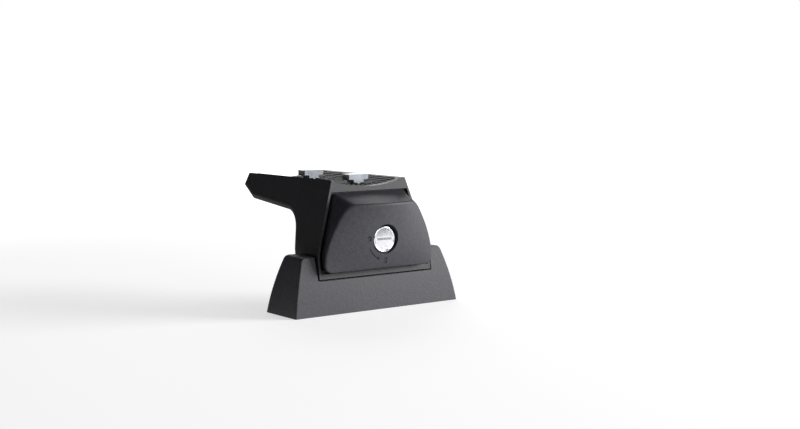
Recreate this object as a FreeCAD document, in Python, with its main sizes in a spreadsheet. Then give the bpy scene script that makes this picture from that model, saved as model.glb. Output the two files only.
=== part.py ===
import FreeCAD, Part
import math
import os
import Sketcher

# Roof bar foot for a track mount: cast leg with an inboard arm, moulded skirt,
# pull-off lock cover with its barrel lock, and the clamp hardware for the bar.
# Frame: origin at the middle of the base, on the surface it stands on.
# +X along the track, +Y inboard under the bar, -Y the lock side, +Z up. Millimetres.

sizes = [
    # alias, value, what it is
    ("skirtDepth", 35.4, "skirt, across the track, at the bottom"),
    ("skirtHeight", 38.0, "top of the posts"),
    ("postLength", 7.47, "length of each post at its top, outside the notch"),
    ("skirtEndLean", 9.7, "how far each end leans in over the height"),
    ("skirtFaceLean", 7.5, "how far front and back lean in over the height"),
    ("skirtEndSwell", 1.1, "how far the ends swell at half height"),
    ("skirtFaceSwell", 0.7, "how far front and back swell at half height"),
    ("skirtWall", 2.4, "moulded wall"),
    ("skirtCornerRound", 1.6, "upright corner radius"),
    ("skirtTopRound", 2.2, "radius over the post tops"),
    ("notchFloor", 22.15, "height of the notch floor"),
    ("notchGap", 1.2, "side gap between notch and leg"),
    ("notchSpread", 2.4, "how much wider each side is at the post tops"),
    ("skirtBossRadius", 3.6, "screw bosses in the posts"),
    ("skirtBossIn", 3.3, "screw bosses, inside the outer edge of the post's top"),
    ("skirtBossTop", 24.0, "top of the screw bosses"),
    ("ribThick", 1.6, "moulded ribs of skirt and cover"),
    ("notchEdge", 0.5, "radius along the edges of the notch floor"),
    ("gasketThick", 2.0, "rubber pad under the plate"),
    ("plateThick", 3.2, "steel base plate"),
    ("plateFit", 0.5, "gap between plate and skirt wall"),
    ("legHalf", 45.0, "half width of the leg above the flange"),
    ("footStep", 1.4, "how much narrower each side of the foot is, inside the skirt"),
    ("footFit", 0.58, "gap between the foot's front and the skirt's wall"),
    ("footBackIn", 0.4, "how much less the foot reaches back than front"),
    ("flangeLift", 0.7, "gap between notch floor and flange"),
    ("flangeProud", 0.3, "how far the flange stands in front of the skirt's face"),
    ("frontLean", 8.67, "how far the leg's front leans back from flange to seat"),
    ("seatTop", 85.2, "top of the seat's side edges"),
    ("seatHalf", 29.8, "half width at the seat's side edges"),
    ("cradleDip", 4.6, "how far the cradle dips below the seat's side edges"),
    ("flankStart", 38.4, "height where the flanks start to taper"),
    ("flankRound", 30.0, "blend radius where the taper starts"),
    ("armTip", 102.6, "inboard end of the arm"),
    ("armTipTall", 9.6, "height of the arm's end face"),
    ("tipLean", 2.7, "how far that face leans in at its top"),
    ("armBevelY", 86.6, "where the end bevel meets the underside"),
    ("armDeep", 17.6, "depth of the arm there"),
    ("armRootY", 27.65, "where underside and upright back would meet"),
    ("armRootDeep", 22.7, "depth of the arm there"),
    ("armRootRound", 20.0, "blend radius there"),
    ("backHeelZ", 20.7, "height where the leaning back starts"),
    ("legEdgeRound", 3.0, "radius on the leg's outer edges"),
    ("legWall", 4.0, "cast wall"),
    ("rimWidth", 3.4, "rim round the cavity mouth"),
    ("lipWidth", 1.5, "raised lip beside the cover"),
    ("lipTall", 2.4, "how far that lip stands above the cover's seat"),
    ("seatDrop", 0.7, "how far the cover's seat reaches below the cover"),
    ("mouthLow", 28.2, "lower edge of the cavity mouth"),
    ("seatWall", 6.0, "casting between the cradle's lowest point and the hollows below it"),
    ("cavityDraft", 1.0, "draft of the cavity"),
    ("cavityBack", 4.0, "depth position of the first cavity step"),
    ("sumpFloor", 13.4, "top of the foot's floor"),
    ("sumpWall", 3.5, "wall in front of the sump"),
    ("sumpRearWall", 3.8, "wall behind the sump"),
    ("sumpEnd", 10.6, "casting at each end of the sump"),
    ("legRib", 2.6, "cast ribs"),
    ("cavityRibX", 27.0, "upright ribs in the cavity"),
    ("padThick", 2.0, "seat pad"),
    ("padProud", 0.8, "how far the pad stands out of the seat"),
    ("padHalf", 26.6, "half width of the seat pad"),
    ("padFront", 1.0, "front edge of the seat pad"),
    ("padRear", 93.0, "rear edge of the seat pad"),
    ("padFit", 0.25, "gap round the seat pad"),
    ("clampFrontY", 10.0, "front clamp bolt"),
    ("clampRearY", 64.0, "rear clamp bolt"),
    ("clampRadius", 4.0, "clamp bolt shank, M8"),
    ("clampClear", 0.5, "radial clearance of the clamp holes"),
    ("threadClear", 0.06, "radial clearance between bolt and nut"),
    ("clampHeadLong", 17.0, "bolt head, across the channel"),
    ("clampHeadWide", 8.0, "bolt head, along the channel"),
    ("clampHeadThick", 3.6, "bolt head"),
    ("channelLip", 2.8, "room between seat and bolt head for the channel lips"),
    ("clampTail", 1.4, "thread beyond the nut"),
    ("washerRadius", 8.0, "flat washer"),
    ("washerThick", 1.6, "flat washer"),
    ("lockWasherRadius", 6.9, "split washer"),
    ("lockWasherThick", 2.0, "split washer"),
    ("nutAcross", 13.0, "nut across flats"),
    ("nutThick", 6.5, "nut"),
    ("bossRadius", 9.0, "cast bosses round the clamp holes"),
    ("bossDrop", 1.2, "how far they stand down"),
    ("trackX", 25.0, "track bolt holes, half spacing"),
    ("trackRadius", 4.3, "track bolt holes"),
    ("baseScrewIn", 5.0, "base screws, inside the side of the foot"),
    ("baseScrewRadius", 2.5, "base screw shank, M5"),
    ("baseScrewLength", 15.0, "base screw"),
    ("screwClear", 0.1, "radial clearance round screw shanks"),
    ("skirtScrewRadius", 1.6, "skirt screw shank"),
    ("skirtScrewLength", 14.0, "skirt screw"),
    ("catchHalf", 11.0, "half width of the catch plate"),
    ("catchThick", 2.0, "catch plate"),
    ("catchFront", 2.6, "front face of the catch"),
    ("catchFoot", 9.0, "length of the catch's foot"),
    ("catchScrewIn", 3.1, "catch screws, inside the end of the catch's foot"),
    ("catchTop", 35.6, "top of the catch"),
    ("catchScrewX", 6.6, "catch screws, half spacing"),
    ("catchScrewRadius", 1.5, "catch screw shank, M3"),
    ("catchScrewLength", 7.0, "catch screw"),
    ("coverLow", 27.0, "bottom of the cover"),
    ("coverBroad", 34.0, "height of the cover's greatest width"),
    ("browUnder", 14.7, "top edge of the cover's face, below the seat's side edges"),
    ("coverUnder", 8.2, "top of the cover where it meets the leg, below the seat's side edges"),
    ("coverFlare", 2.2, "how much wider the face is than the rear edge, at the bottom"),
    ("coverTaper", 16.4, "how much narrower each side of the face is at its top"),
    ("coverStand", 3.73, "how far the face's lower edge stands in front of the flange"),
    ("coverForward", 3.3, "how far further the face's top edge stands"),
    ("pillowLow", 1.0, "how far the face swells at the bottom"),
    ("pillowTop", 6.4, "how far the face swells at the top"),
    ("coverWall", 2.6, "moulded wall of the cover"),
    ("coverInset", 3.8, "cover's edge inside the leg's flank"),
    ("coverGap", 0.35, "gap between cover and flange"),
    ("coverCorner", 3.6, "radius of the cover's lower corners"),
    ("tongueX", 20.0, "lower tongues, half spacing"),
    ("tongueHalf", 6.0, "half width of a tongue"),
    ("tongueThick", 2.6, "thickness of a tongue"),
    ("tongueReach", 4.0, "how far a tongue reaches behind the flange"),
    ("tongueClear", 0.4, "clearance of the tongues"),
    ("lockHeight", 46.9, "height of the lock's axis"),
    ("lockWellRadius", 9.95, "round well in the face"),
    ("lockRecess", 1.3, "how far the lock face lies behind the cover's face"),
    ("faceRadius", 8.8, "lock face"),
    ("faceThick", 1.3, "lock face"),
    ("faceGap", 0.25, "gap behind the lock face"),
    ("housingRadius", 9.3, "lock barrel"),
    ("housingFit", 0.1, "radial gap of the barrel in its boss"),
    ("housingBack", 1.6, "rear end of the barrel, in front of the origin plane"),
    ("plugRadius", 6.6, "lock plug"),
    ("plugFit", 0.06, "radial running clearance of the plug"),
    ("tailHalf", 3.0, "half width of the square tail"),
    ("lockBossWall", 2.4, "wall of the boss round the barrel"),
    ("lockBossBack", 6.4, "rear end of the boss"),
    ("slotHalf", 5.6, "half length of the key slot"),
    ("slotTall", 2.0, "height of the key slot"),
    ("keywayHalf", 4.4, "half width of the keyway in the plug"),
    ("waferPitch", 2.6, "distance between wafers"),
    ("waferFirst", 17.2, "first wafer"),
    ("waferThick", 1.0, "wafer"),
    ("waferTall", 5.2, "wafer height"),
    ("waferClear", 0.1, "clearance of a wafer in its slot"),
    ("camThick", 2.4, "cam"),
    ("camGap", 0.8, "gap between the catch and the cam behind it"),
    ("camScrewDeep", 4.0, "how far the cam screw reaches in front of the origin plane"),
    ("camReach", 15.6, "cam, axis to tip"),
    ("camHalf", 4.2, "half width of the cam's tongue"),
    ("camHub", 7.4, "radius of the cam's hub"),
    ("camFit", 0.08, "clearance of the cam on its square"),
    ("camWasherRadius", 5.4, "washer under the cam screw"),
    ("camRoom", 0.5, "room round that washer"),
    ("camWasherThick", 0.9, "washer under the cam screw"),
    ("camScrewRadius", 1.5, "cam screw shank"),
    ("camScrewHead", 2.9, "cam screw head radius"),
    ("camScrewHeadThick", 1.9, "cam screw head"),
    ("clipThick", 1.1, "spring clip on the barrel"),
    ("clipWidth", 2.6, "band width of the spring clip"),
    ("clipGroove", 1.1, "depth of the clip's groove in the barrel"),
    ("sealThick", 1.6, "thickness of the rubber ring"),
    ("bumperRadius", 3.2, "rubber buttons"),
    ("bumperZ", 47.0, "rubber buttons, height"),
    ("bumperStem", 1.5, "stem of a rubber button"),
    ("bumperReach", 3.6, "front of a rubber button, in front of the origin plane"),
    ("bumperRest", 0.3, "gap between a rubber button and the rib behind it"),
]

doc = FreeCAD.newDocument("RoofBarFoot")
sheet = doc.addObject("Spreadsheet::Sheet", "Sizes")


class Term:
    # a length with both its value and its sheet expression

    def __init__(self, text, value):
        self.text = text
        self.value = float(value)

    def join(self, sign, other, value):
        return Term("(" + self.text + " " + sign + " " + term(other).text + ")", value)

    def __add__(self, other):
        return self.join("+", other, self.value + term(other).value)

    def __radd__(self, other):
        return term(other) + self

    def __sub__(self, other):
        return self.join("-", other, self.value - term(other).value)

    def __rsub__(self, other):
        return term(other) - self

    def __mul__(self, other):
        return self.join("*", other, self.value * term(other).value)

    def __rmul__(self, other):
        return term(other) * self

    def __truediv__(self, other):
        return self.join("/", other, self.value / term(other).value)

    def __pow__(self, other):
        return self.join("^", other, self.value ** term(other).value)

    def __neg__(self):
        return Term("(0 - " + self.text + ")", -self.value)


def term(x):
    return x if isinstance(x, Term) else Term("%.6g" % x, x)


def root(x):
    return Term("sqrt(" + x.text + ")", math.sqrt(x.value))


class Names:
    pass


d = Names()
for row, (alias, value, note) in enumerate(sizes, 1):
    sheet.set("A%d" % row, alias)
    sheet.set("B%d" % row, "%g" % value)
    sheet.set("C%d" % row, note)
    sheet.setAlias("B%d" % row, alias)
    setattr(d, alias, Term("Sizes." + alias, value))
doc.recompute()

parts = []


def bind(obj, prop, value):
    # sets a property from a length and keeps it tied to the sheet
    obj.setExpression(prop, term(value).text)


def tag(obj, label):
    obj.Label = label
    parts.append(obj)
    return obj


def newBody(name):
    return doc.addObject("PartDesign::Body", name)


def draw(body, name, role, loops, offset=None):
    # sketch of closed loops on one of the body's planes; a loop is a list of points,
    # or ("circle", x, y, radius); a point ("arc", x, y, radius) bends the side before it
    plane = [f for f in body.Origin.OriginFeatures if f.Role == role][0]
    sk = body.newObject("Sketcher::SketchObject", name)
    sk.AttachmentSupport = (plane, [""])
    sk.MapMode = "FlatFace"
    if offset is not None:
        sk.AttachmentOffset = FreeCAD.Placement(
            FreeCAD.Vector(0, 0, term(offset).value), FreeCAD.Rotation())
        bind(sk, "AttachmentOffset.Base.z", offset)
    for loop in loops:
        if loop[0] == "circle":
            addCircle(sk, *loop[1:])
        else:
            addLoop(sk, loop)
    return sk


def pin(sk, kind, geo, point, value):
    c = sk.addConstraint(Sketcher.Constraint(kind, -1, 1, geo, point, term(value).value))
    sk.setExpression("Constraints[%d]" % c, term(value).text)


def addCircle(sk, x, y, r):
    g = sk.addGeometry(Part.Circle(
        FreeCAD.Vector(term(x).value, term(y).value, 0), FreeCAD.Vector(0, 0, 1), term(r).value))
    pin(sk, "DistanceX", g, 3, x)
    pin(sk, "DistanceY", g, 3, y)
    c = sk.addConstraint(Sketcher.Constraint("Radius", g, term(r).value))
    sk.setExpression("Constraints[%d]" % c, term(r).text)


def addLoop(sk, loop):
    if loop[-1][0] == "close":
        # the side back to the first point is an arc too
        loop = [("arc", loop[0][0], loop[0][1], loop[-1][1])] + loop[1:-1]
    spots = [p[1:3] if p[0] == "arc" else p for p in loop]
    n = len(loop)
    ids = []
    for i in range(n):
        a = [term(v).value for v in spots[i]]
        b = [term(v).value for v in spots[(i + 1) % n]]
        bend = loop[(i + 1) % n]
        start = FreeCAD.Vector(a[0], a[1], 0)
        end = FreeCAD.Vector(b[0], b[1], 0)
        if bend[0] == "arc":
            r = term(bend[3]).value
            chord = end - start
            long = chord.Length / 2
            side = FreeCAD.Vector(-chord.y, chord.x, 0).normalize() * math.copysign(1, r)
            centre = start + chord * 0.5 + side * math.sqrt(r * r - long * long)
            g = sk.addGeometry(Part.Arc(start, centre - side * abs(r), end))
        else:
            g = sk.addGeometry(Part.LineSegment(start, end))
        ids.append(g)
    for i in range(n):
        g = ids[i]
        nxt = ids[(i + 1) % n]
        spot = spots[(i + 1) % n]
        sk.addConstraint(Sketcher.Constraint("Coincident", g, near(sk, g, spot), nxt, near(sk, nxt, spot)))
    for i in range(n):
        g = ids[i]
        end = near(sk, g, spots[i])
        pin(sk, "DistanceX", g, end, spots[i][0])
        pin(sk, "DistanceY", g, end, spots[i][1])
        bend = loop[(i + 1) % n]
        if bend[0] == "arc":
            r = term(bend[3])
            r = -r if r.value < 0 else r
            c = sk.addConstraint(Sketcher.Constraint("Radius", g, r.value))
            sk.setExpression("Constraints[%d]" % c, r.text)


def near(sk, g, spot):
    # which end of a sketch edge lies on the spot
    here = FreeCAD.Vector(term(spot[0]).value, term(spot[1]).value, 0)
    return 1 if (sk.getPoint(g, 1) - here).Length < (sk.getPoint(g, 2) - here).Length else 2


def pad(body, name, sk, length, both=False, flip=False, kind="PartDesign::Pad"):
    f = body.newObject(kind, name)
    f.Profile = sk
    f.SideType = "Symmetric" if both else "One side"
    f.Reversed = flip
    bind(f, "Length", length)
    return f


def cut(body, name, sk, length, both=False, flip=False):
    # a pocket that must take material away
    doc.recompute()
    before = body.Tip.Shape.Volume
    f = pad(body, name, sk, length, both, flip, "PartDesign::Pocket")
    doc.recompute()
    if not f.Shape.Volume < before - 1e-6:
        raise RuntimeError(name + " cuts nothing")
    return f


def loft(body, name, sections, take=False, ruled=False):
    kind = "PartDesign::SubtractiveLoft" if take else "PartDesign::AdditiveLoft"
    f = body.newObject(kind, name)
    f.Profile = sections[0]
    f.Sections = sections[1:]
    f.Ruled = ruled
    return f


def edgesOf(feature, test):
    # names of the edges whose middle point and direction pass the test
    found = []
    for i, e in enumerate(feature.Shape.Edges, 1):
        mid = e.valueAt((e.FirstParameter + e.LastParameter) / 2)
        a = e.valueAt(e.FirstParameter)
        b = e.valueAt(e.LastParameter)
        if test(mid, b - a, e):
            found.append("Edge%d" % i)
    return found


def roundOff(body, name, radius, test, kind="PartDesign::Fillet"):
    doc.recompute()
    base = body.Tip
    names = edgesOf(base, test)
    if not names:
        raise RuntimeError(name + " finds no edge")
    f = body.newObject(kind, name)
    f.Base = (base, names)
    bind(f, "Radius" if kind.endswith("Fillet") else "Size", radius)
    doc.recompute()
    return f


def hollow(body, name, wall, test):
    # turns the solid into a shell that is open at the faces that pass the test
    doc.recompute()
    base = body.Tip
    f = body.newObject("PartDesign::Thickness", name)
    f.Base = (base, ["Face%d" % i for i, face in enumerate(base.Shape.Faces, 1) if test(face)])
    f.Reversed = True
    bind(f, "Value", wall)
    doc.recompute()
    return f


def mirrored(points):
    # the same loop on the other side of the vertical axis
    return [(-x, y) for x, y in reversed(points)]


def block(name, x, y, z, lx, ly, lz):
    # box given by its lowest corner and its sides
    b = doc.addObject("Part::Box", name)
    for prop, v in (("Length", lx), ("Width", ly), ("Height", lz)):
        bind(b, prop, v)
    place(b, x, y, z)
    return b


def place(obj, x, y, z):
    for axis, v in (("x", x), ("y", y), ("z", z)):
        bind(obj, "Placement.Base." + axis, v)
    return obj


turns = {
    "Z": FreeCAD.Rotation(),
    "Y": FreeCAD.Rotation(FreeCAD.Vector(1, 0, 0), -90),
}


def rod(name, axis, x, y, z, r, length):
    # cylinder that starts at the point and runs along the axis
    c = doc.addObject("Part::Cylinder", name)
    bind(c, "Radius", r)
    bind(c, "Height", length)
    c.Placement = FreeCAD.Placement(FreeCAD.Vector(), turns[axis])
    place(c, x, y, z)
    return c


def cone(name, axis, x, y, z, r1, r2, length):
    c = doc.addObject("Part::Cone", name)
    bind(c, "Radius1", r1)
    bind(c, "Radius2", r2)
    bind(c, "Height", length)
    c.Placement = FreeCAD.Placement(FreeCAD.Vector(), turns[axis])
    place(c, x, y, z)
    return c


def prism(name, x, y, z, across, length):
    # hexagonal prism along Z, given across its flats
    c = doc.addObject("Part::Prism", name)
    c.Polygon = 6
    bind(c, "Circumradius", term(across) / root(term(3.0)))
    bind(c, "Height", length)
    place(c, x, y, z)
    return c


def without(name, base, *tools):
    c = doc.addObject("Part::Cut", name)
    c.Base = base
    if len(tools) == 1:
        c.Tool = tools[0]
    else:
        c.Tool = together(name + "Tools", *tools)
    return c


def together(name, *shapes):
    f = doc.addObject("Part::MultiFuse", name)
    f.Shapes = list(shapes)
    f.Refine = True
    return f


def shared(name, a, b):
    f = doc.addObject("Part::Common", name)
    f.Base = a
    f.Tool = b
    return f


# Levels and lines that several pieces share
plateTop = d.gasketThick + d.plateThick
flangeLow = d.notchFloor + d.flangeLift
flankSlope = (d.legHalf - d.seatHalf) / (d.seatTop - d.flankStart)
notchHalf = d.legHalf + d.notchGap
notchTop = d.skirtHeight + 2
notchWiden = d.notchSpread * (d.skirtHeight - d.notchFloor) / (notchTop - d.notchFloor)
longTop = notchHalf + notchWiden + d.postLength
longLow = longTop + d.skirtEndLean
deepLow = d.skirtDepth / 2
deepTop = deepLow - d.skirtFaceLean
cradleRadius = (d.seatHalf ** 2 + d.cradleDip ** 2) / (d.cradleDip * 2)
seatLow = d.seatTop - d.cradleDip
cradleZ = seatLow + cradleRadius
ceiling = seatLow - d.seatWall
armTipLow = d.seatTop - d.armTipTall
armBevelZ = d.seatTop - d.armDeep
armRootZ = d.seatTop - d.armRootDeep
coverBrow = d.seatTop - d.browUnder
coverTop = d.seatTop - d.coverUnder


def flankAt(z):
    # half width of the leg at a height
    z = term(z)
    if z.value <= d.flankStart.value:
        return d.legHalf
    return d.legHalf - flankSlope * (z - d.flankStart)


def skirtHalf(z, inside):
    # half length and half depth of the skirt at a height, less an inset
    z = term(z)
    u = z / d.skirtHeight
    swell = u * (1 - u) * 4
    hx = longLow - d.skirtEndLean * u + d.skirtEndSwell * swell
    hy = deepLow - d.skirtFaceLean * u + d.skirtFaceSwell * swell
    return hx - inside, hy - inside


flangeFront = skirtHalf(flangeLow, 0)[1] + d.flangeProud
seatFront = flangeFront - d.frontLean
rimSlope = d.frontLean / (d.seatTop - flangeLow)
legFootHalf = d.legHalf - d.footStep
footFront = skirtHalf(d.notchFloor, d.skirtWall + d.footFit)[1]
footBack = footFront - d.footBackIn
baseScrewX = legFootHalf - d.baseScrewIn
skirtBossX = longTop - d.skirtBossIn


def rimAt(z):
    # front of the leg at a height, as a Y value
    return -flangeFront + rimSlope * (term(z) - flangeLow)


# Base gasket and plate, inside the skirt

def rect(hx, hy):
    return [(-hx, -hy), (hx, -hy), (hx, hy), (-hx, hy)]


plateX, plateY = skirtHalf(plateTop, d.skirtWall + d.plateFit)

gasket = newBody("BaseGasket")
pad(gasket, "GasketPad", draw(gasket, "GasketOutline", "XY_Plane", [
    rect(plateX, plateY),
    ("circle", -d.trackX, 0, d.trackRadius), ("circle", d.trackX, 0, d.trackRadius),
]), d.gasketThick)
roundOff(gasket, "GasketCorners", d.skirtCornerRound, lambda m, v, e: abs(v.z) > 1 and abs(m.x) > plateX.value * 0.9)
tag(gasket, "base_gasket")

plate = newBody("BasePlate")
pad(plate, "PlatePad", draw(plate, "PlateOutline", "XY_Plane", [
    rect(plateX, plateY),
    ("circle", -d.trackX, 0, d.trackRadius), ("circle", d.trackX, 0, d.trackRadius),
    ("circle", -baseScrewX, 0, d.baseScrewRadius + d.screwClear),
    ("circle", baseScrewX, 0, d.baseScrewRadius + d.screwClear),
    ("circle", -skirtBossX, 0, d.skirtScrewRadius + d.screwClear),
    ("circle", skirtBossX, 0, d.skirtScrewRadius + d.screwClear),
], d.gasketThick), d.plateThick)
roundOff(plate, "PlateCorners", d.skirtCornerRound, lambda m, v, e: abs(v.z) > 1 and abs(m.x) > plateX.value * 0.9)
roundOff(plate, "PlateSinks", d.plateThick * 0.55, lambda m, v, e: (
    abs(m.z - d.gasketThick.value) < 0.01 and e.Curve.TypeId == "Part::GeomCircle"
    and e.Closed and e.Curve.Radius < d.trackRadius.value * 0.9), "PartDesign::Chamfer")
tag(plate, "base_plate")


def sunkScrew(name, label, x, radius, length, top):
    # countersunk screw from below with its head in the plate's sink
    low = d.gasketThick + 0.05
    sink = d.plateThick * 0.55
    head = cone(name + "Head", "Z", x, 0, low, radius + sink - 0.05, radius, sink)
    shank = rod(name + "Shank", "Z", x, 0, low, radius, length)
    socket = prism(name + "Socket", x, 0, low - 0.5, radius * 1.1, radius * 0.7 + 0.5)
    return tag(without(name, together(name + "Blank", head, shank), socket), label)


for side, s in (("left", -1), ("right", 1)):
    sunkScrew("BaseScrew" + side, "base_screw_" + side, baseScrewX * s,
              d.baseScrewRadius, d.baseScrewLength, plateTop)
    sunkScrew("SkirtScrew" + side, "skirt_screw_" + side, skirtBossX * s,
              d.skirtScrewRadius, d.skirtScrewLength, plateTop)

# Skirt: block with swelling ends and faces, notched for the leg, a shell open below
skirt = newBody("BaseSkirt")


def swellRadius(low, high, swell):
    # radius of the arc between two half widths over the skirt's height
    chord = (low - high) ** 2 + d.skirtHeight ** 2
    return (chord / 4 + swell ** 2) / (swell * 2)


pad(skirt, "SkirtBlock", draw(skirt, "SkirtFrontView", "XZ_Plane", [[
    (-longLow, 0), (longLow, 0),
    ("arc", longTop, d.skirtHeight, swellRadius(longLow, longTop, d.skirtEndSwell)),
    (-longTop, d.skirtHeight),
    ("close", swellRadius(longLow, longTop, d.skirtEndSwell))]]), d.skirtDepth, both=True)
faceArc = swellRadius(deepLow, deepTop, d.skirtFaceSwell)
slab = d.skirtDepth
cut(skirt, "SkirtFaces", draw(skirt, "SkirtEndView", "YZ_Plane", [
    [(deepLow, 0), (slab, 0), (slab, d.skirtHeight + 1), (deepTop, d.skirtHeight + 1),
     (deepTop, d.skirtHeight), ("close", -faceArc)],
    [(-deepLow, 0), ("arc", -deepTop, d.skirtHeight, -faceArc), (-deepTop, d.skirtHeight + 1),
     (-slab, d.skirtHeight + 1), (-slab, 0)]]), longLow * 4, both=True)
hollow(skirt, "SkirtHollow", d.skirtWall, lambda f: f.CenterOfMass.z < 0.01)
roundOff(skirt, "SkirtTopRounds", d.skirtTopRound, lambda m, v, e: abs(m.z - d.skirtHeight.value) < 0.05)
roundOff(skirt, "SkirtUprightRounds", d.skirtCornerRound, lambda m, v, e: (
    abs(v.z) > 20 and abs(m.x) > skirtHalf(m.z, d.skirtWall / 2)[0].value))
pad(skirt, "SkirtBosses", draw(skirt, "SkirtBossRings", "XY_Plane", [
    ("circle", -skirtBossX, 0, d.skirtBossRadius), ("circle", skirtBossX, 0, d.skirtBossRadius),
], plateTop + 0.1), d.skirtHeight - d.skirtWall / 2 - plateTop - 0.1)
pad(skirt, "SkirtRibs", draw(skirt, "SkirtRibLines", "XY_Plane", [
    [(x0, -1 * skirtHalf(d.notchFloor, d.skirtWall / 2)[1]), (x1, -1 * skirtHalf(d.notchFloor, d.skirtWall / 2)[1]),
     (x1, skirtHalf(d.notchFloor, d.skirtWall / 2)[1]), (x0, skirtHalf(d.notchFloor, d.skirtWall / 2)[1])]
    for x0, x1 in ((-skirtBossX - d.ribThick / 2, -skirtBossX + d.ribThick / 2),
                   (skirtBossX - d.ribThick / 2, skirtBossX + d.ribThick / 2))
], plateTop + 4), d.notchFloor - plateTop - 4)
cut(skirt, "SkirtNotch", draw(skirt, "NotchShape", "XZ_Plane", [[
    (-notchHalf, d.notchFloor), (notchHalf, d.notchFloor),
    (notchHalf + d.notchSpread, notchTop), (-notchHalf - d.notchSpread, notchTop)]]),
    d.skirtDepth + 10, both=True)
cut(skirt, "SkirtBossHoles", draw(skirt, "BossHoleRings", "XY_Plane", [
    ("circle", -skirtBossX, 0, d.skirtScrewRadius + d.screwClear),
    ("circle", skirtBossX, 0, d.skirtScrewRadius + d.screwClear),
], d.skirtBossTop), d.skirtBossTop)
roundOff(skirt, "NotchEdges", d.notchEdge, lambda m, v, e: (
    abs(m.z - d.notchFloor.value) < 0.05 and abs(v.x) > d.legHalf.value
    and abs(m.y) > skirtHalf(d.notchFloor, d.skirtWall)[1].value + 1))
tag(skirt, "base_skirt")

# Leg: side outline, tapered flanks, blended heel and arm root, cradle seat
leg = newBody("LegCasting")
pad(leg, "LegOutline", draw(leg, "LegSide", "YZ_Plane", [[
    (-footFront, plateTop), (footBack, plateTop), (footBack, d.backHeelZ),
    (d.armRootY, armRootZ), (d.armBevelY, armBevelZ), (d.armTip, armTipLow),
    (d.armTip - d.tipLean, d.seatTop),
    (-seatFront, d.seatTop), (-flangeFront, flangeLow), (-footFront, flangeLow)]]),
    d.legHalf * 2, both=True)
above = d.seatTop + 10
flank = [(d.legHalf, d.flankStart), (d.legHalf + 5, d.flankStart), (d.legHalf + 5, above),
         (flankAt(above), above)]
cut(leg, "LegFlanks", draw(leg, "FlankCuts", "XZ_Plane", [flank, mirrored(flank)]), d.armTip * 3, both=True)
step = [(legFootHalf, plateTop - 1), (d.legHalf + 5, plateTop - 1), (d.legHalf + 5, flangeLow),
        (legFootHalf, flangeLow)]
cut(leg, "LegFootSides", draw(leg, "FootSideCuts", "XZ_Plane", [step, mirrored(step)]), d.armTip * 3, both=True)
roundOff(leg, "HeelBlend", d.flankRound, lambda m, v, e: (
    abs(m.z - d.flankStart.value) < 0.05 and abs(abs(m.x) - d.legHalf.value) < 0.05 and abs(v.y) > 10))
roundOff(leg, "ArmRootBlend", d.armRootRound, lambda m, v, e: (
    abs(m.y - d.armRootY.value) < 0.05 and abs(m.z - armRootZ.value) < 0.05))
roundOff(leg, "LegBackRounds", d.legEdgeRound, lambda m, v, e: (
    abs(m.x) > 20 and m.y > footBack.value - 0.05 and m.z > flangeLow.value
    and m.z < d.seatTop.value - 1 and abs(v.x) < 3.5 and v.Length > 1))
cut(leg, "Cradle", draw(leg, "CradleCircle", "XZ_Plane", [
    ("circle", 0, cradleZ, cradleRadius)]), d.armTip * 3, both=True)

# Seat recess, concentric with the cradle
seatRadius = cradleRadius + d.padThick - d.padProud


def cradleAt(x, r):
    # height of an arc round the cradle's centre
    return cradleZ - root(r * r - x * x)


recessHalf = d.padHalf + d.padFit
recess = draw(leg, "SeatRecessShape", "XZ_Plane", [[
    (recessHalf, cradleZ), (-recessHalf, cradleZ), (-recessHalf, cradleAt(recessHalf, seatRadius)),
    ("arc", recessHalf, cradleAt(recessHalf, seatRadius), seatRadius)]], -(d.padFront - d.padFit))
cut(leg, "SeatRecess", recess, d.padRear - d.padFront + d.padFit * 2)

# Front cavity with draft, then two deeper steps that follow the leaning back
def mouth(inset, low):
    return [(-d.legHalf + inset, low), (d.legHalf - inset, low), (d.legHalf - inset, d.flankStart),
            (flankAt(ceiling) - inset, ceiling), (-flankAt(ceiling) + inset, ceiling),
            (-d.legHalf + inset, d.flankStart)]


doc.recompute()
loft(leg, "Cavity", [
    draw(leg, "CavityMouth", "XZ_Plane", [mouth(d.rimWidth, d.mouthLow)], flangeFront + 1),
    draw(leg, "CavityRear", "XZ_Plane", [mouth(d.rimWidth + d.cavityDraft, d.mouthLow + d.cavityDraft)],
         -d.cavityBack)], take=True, ruled=True)


def seatSection(name, z):
    # level section through the cover's seat, inside the raised lip
    half_ = flankAt(z) - d.lipWidth
    return draw(leg, name, "XY_Plane", [[
        (-half_, rimAt(z) + d.lipTall), (-half_, -flangeFront - 1), (half_, -flangeFront - 1),
        (half_, rimAt(z) + d.lipTall)]], z)


loft(leg, "CoverSeat", [
    seatSection("CoverSeatLow", d.coverLow - d.seatDrop), seatSection("CoverSeatBend", d.flankStart),
    seatSection("CoverSeatTop", coverTop + d.lipWidth / 2)], take=True, ruled=True)


def deeper(name, low, inset, start, end):
    shape = [(-flankAt(low) + inset, low), (flankAt(low) - inset, low),
             (flankAt(ceiling) - inset, ceiling), (-flankAt(ceiling) + inset, ceiling)]
    cut(leg, name, draw(leg, name + "Shape", "XZ_Plane", [shape], -start), end - start)


def backAt(z):
    # back of the leaning upright at a height
    lean = (d.armRootY - footBack) / (armRootZ - d.backHeelZ)
    return footBack + lean * (term(z) - d.backHeelZ)


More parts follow.
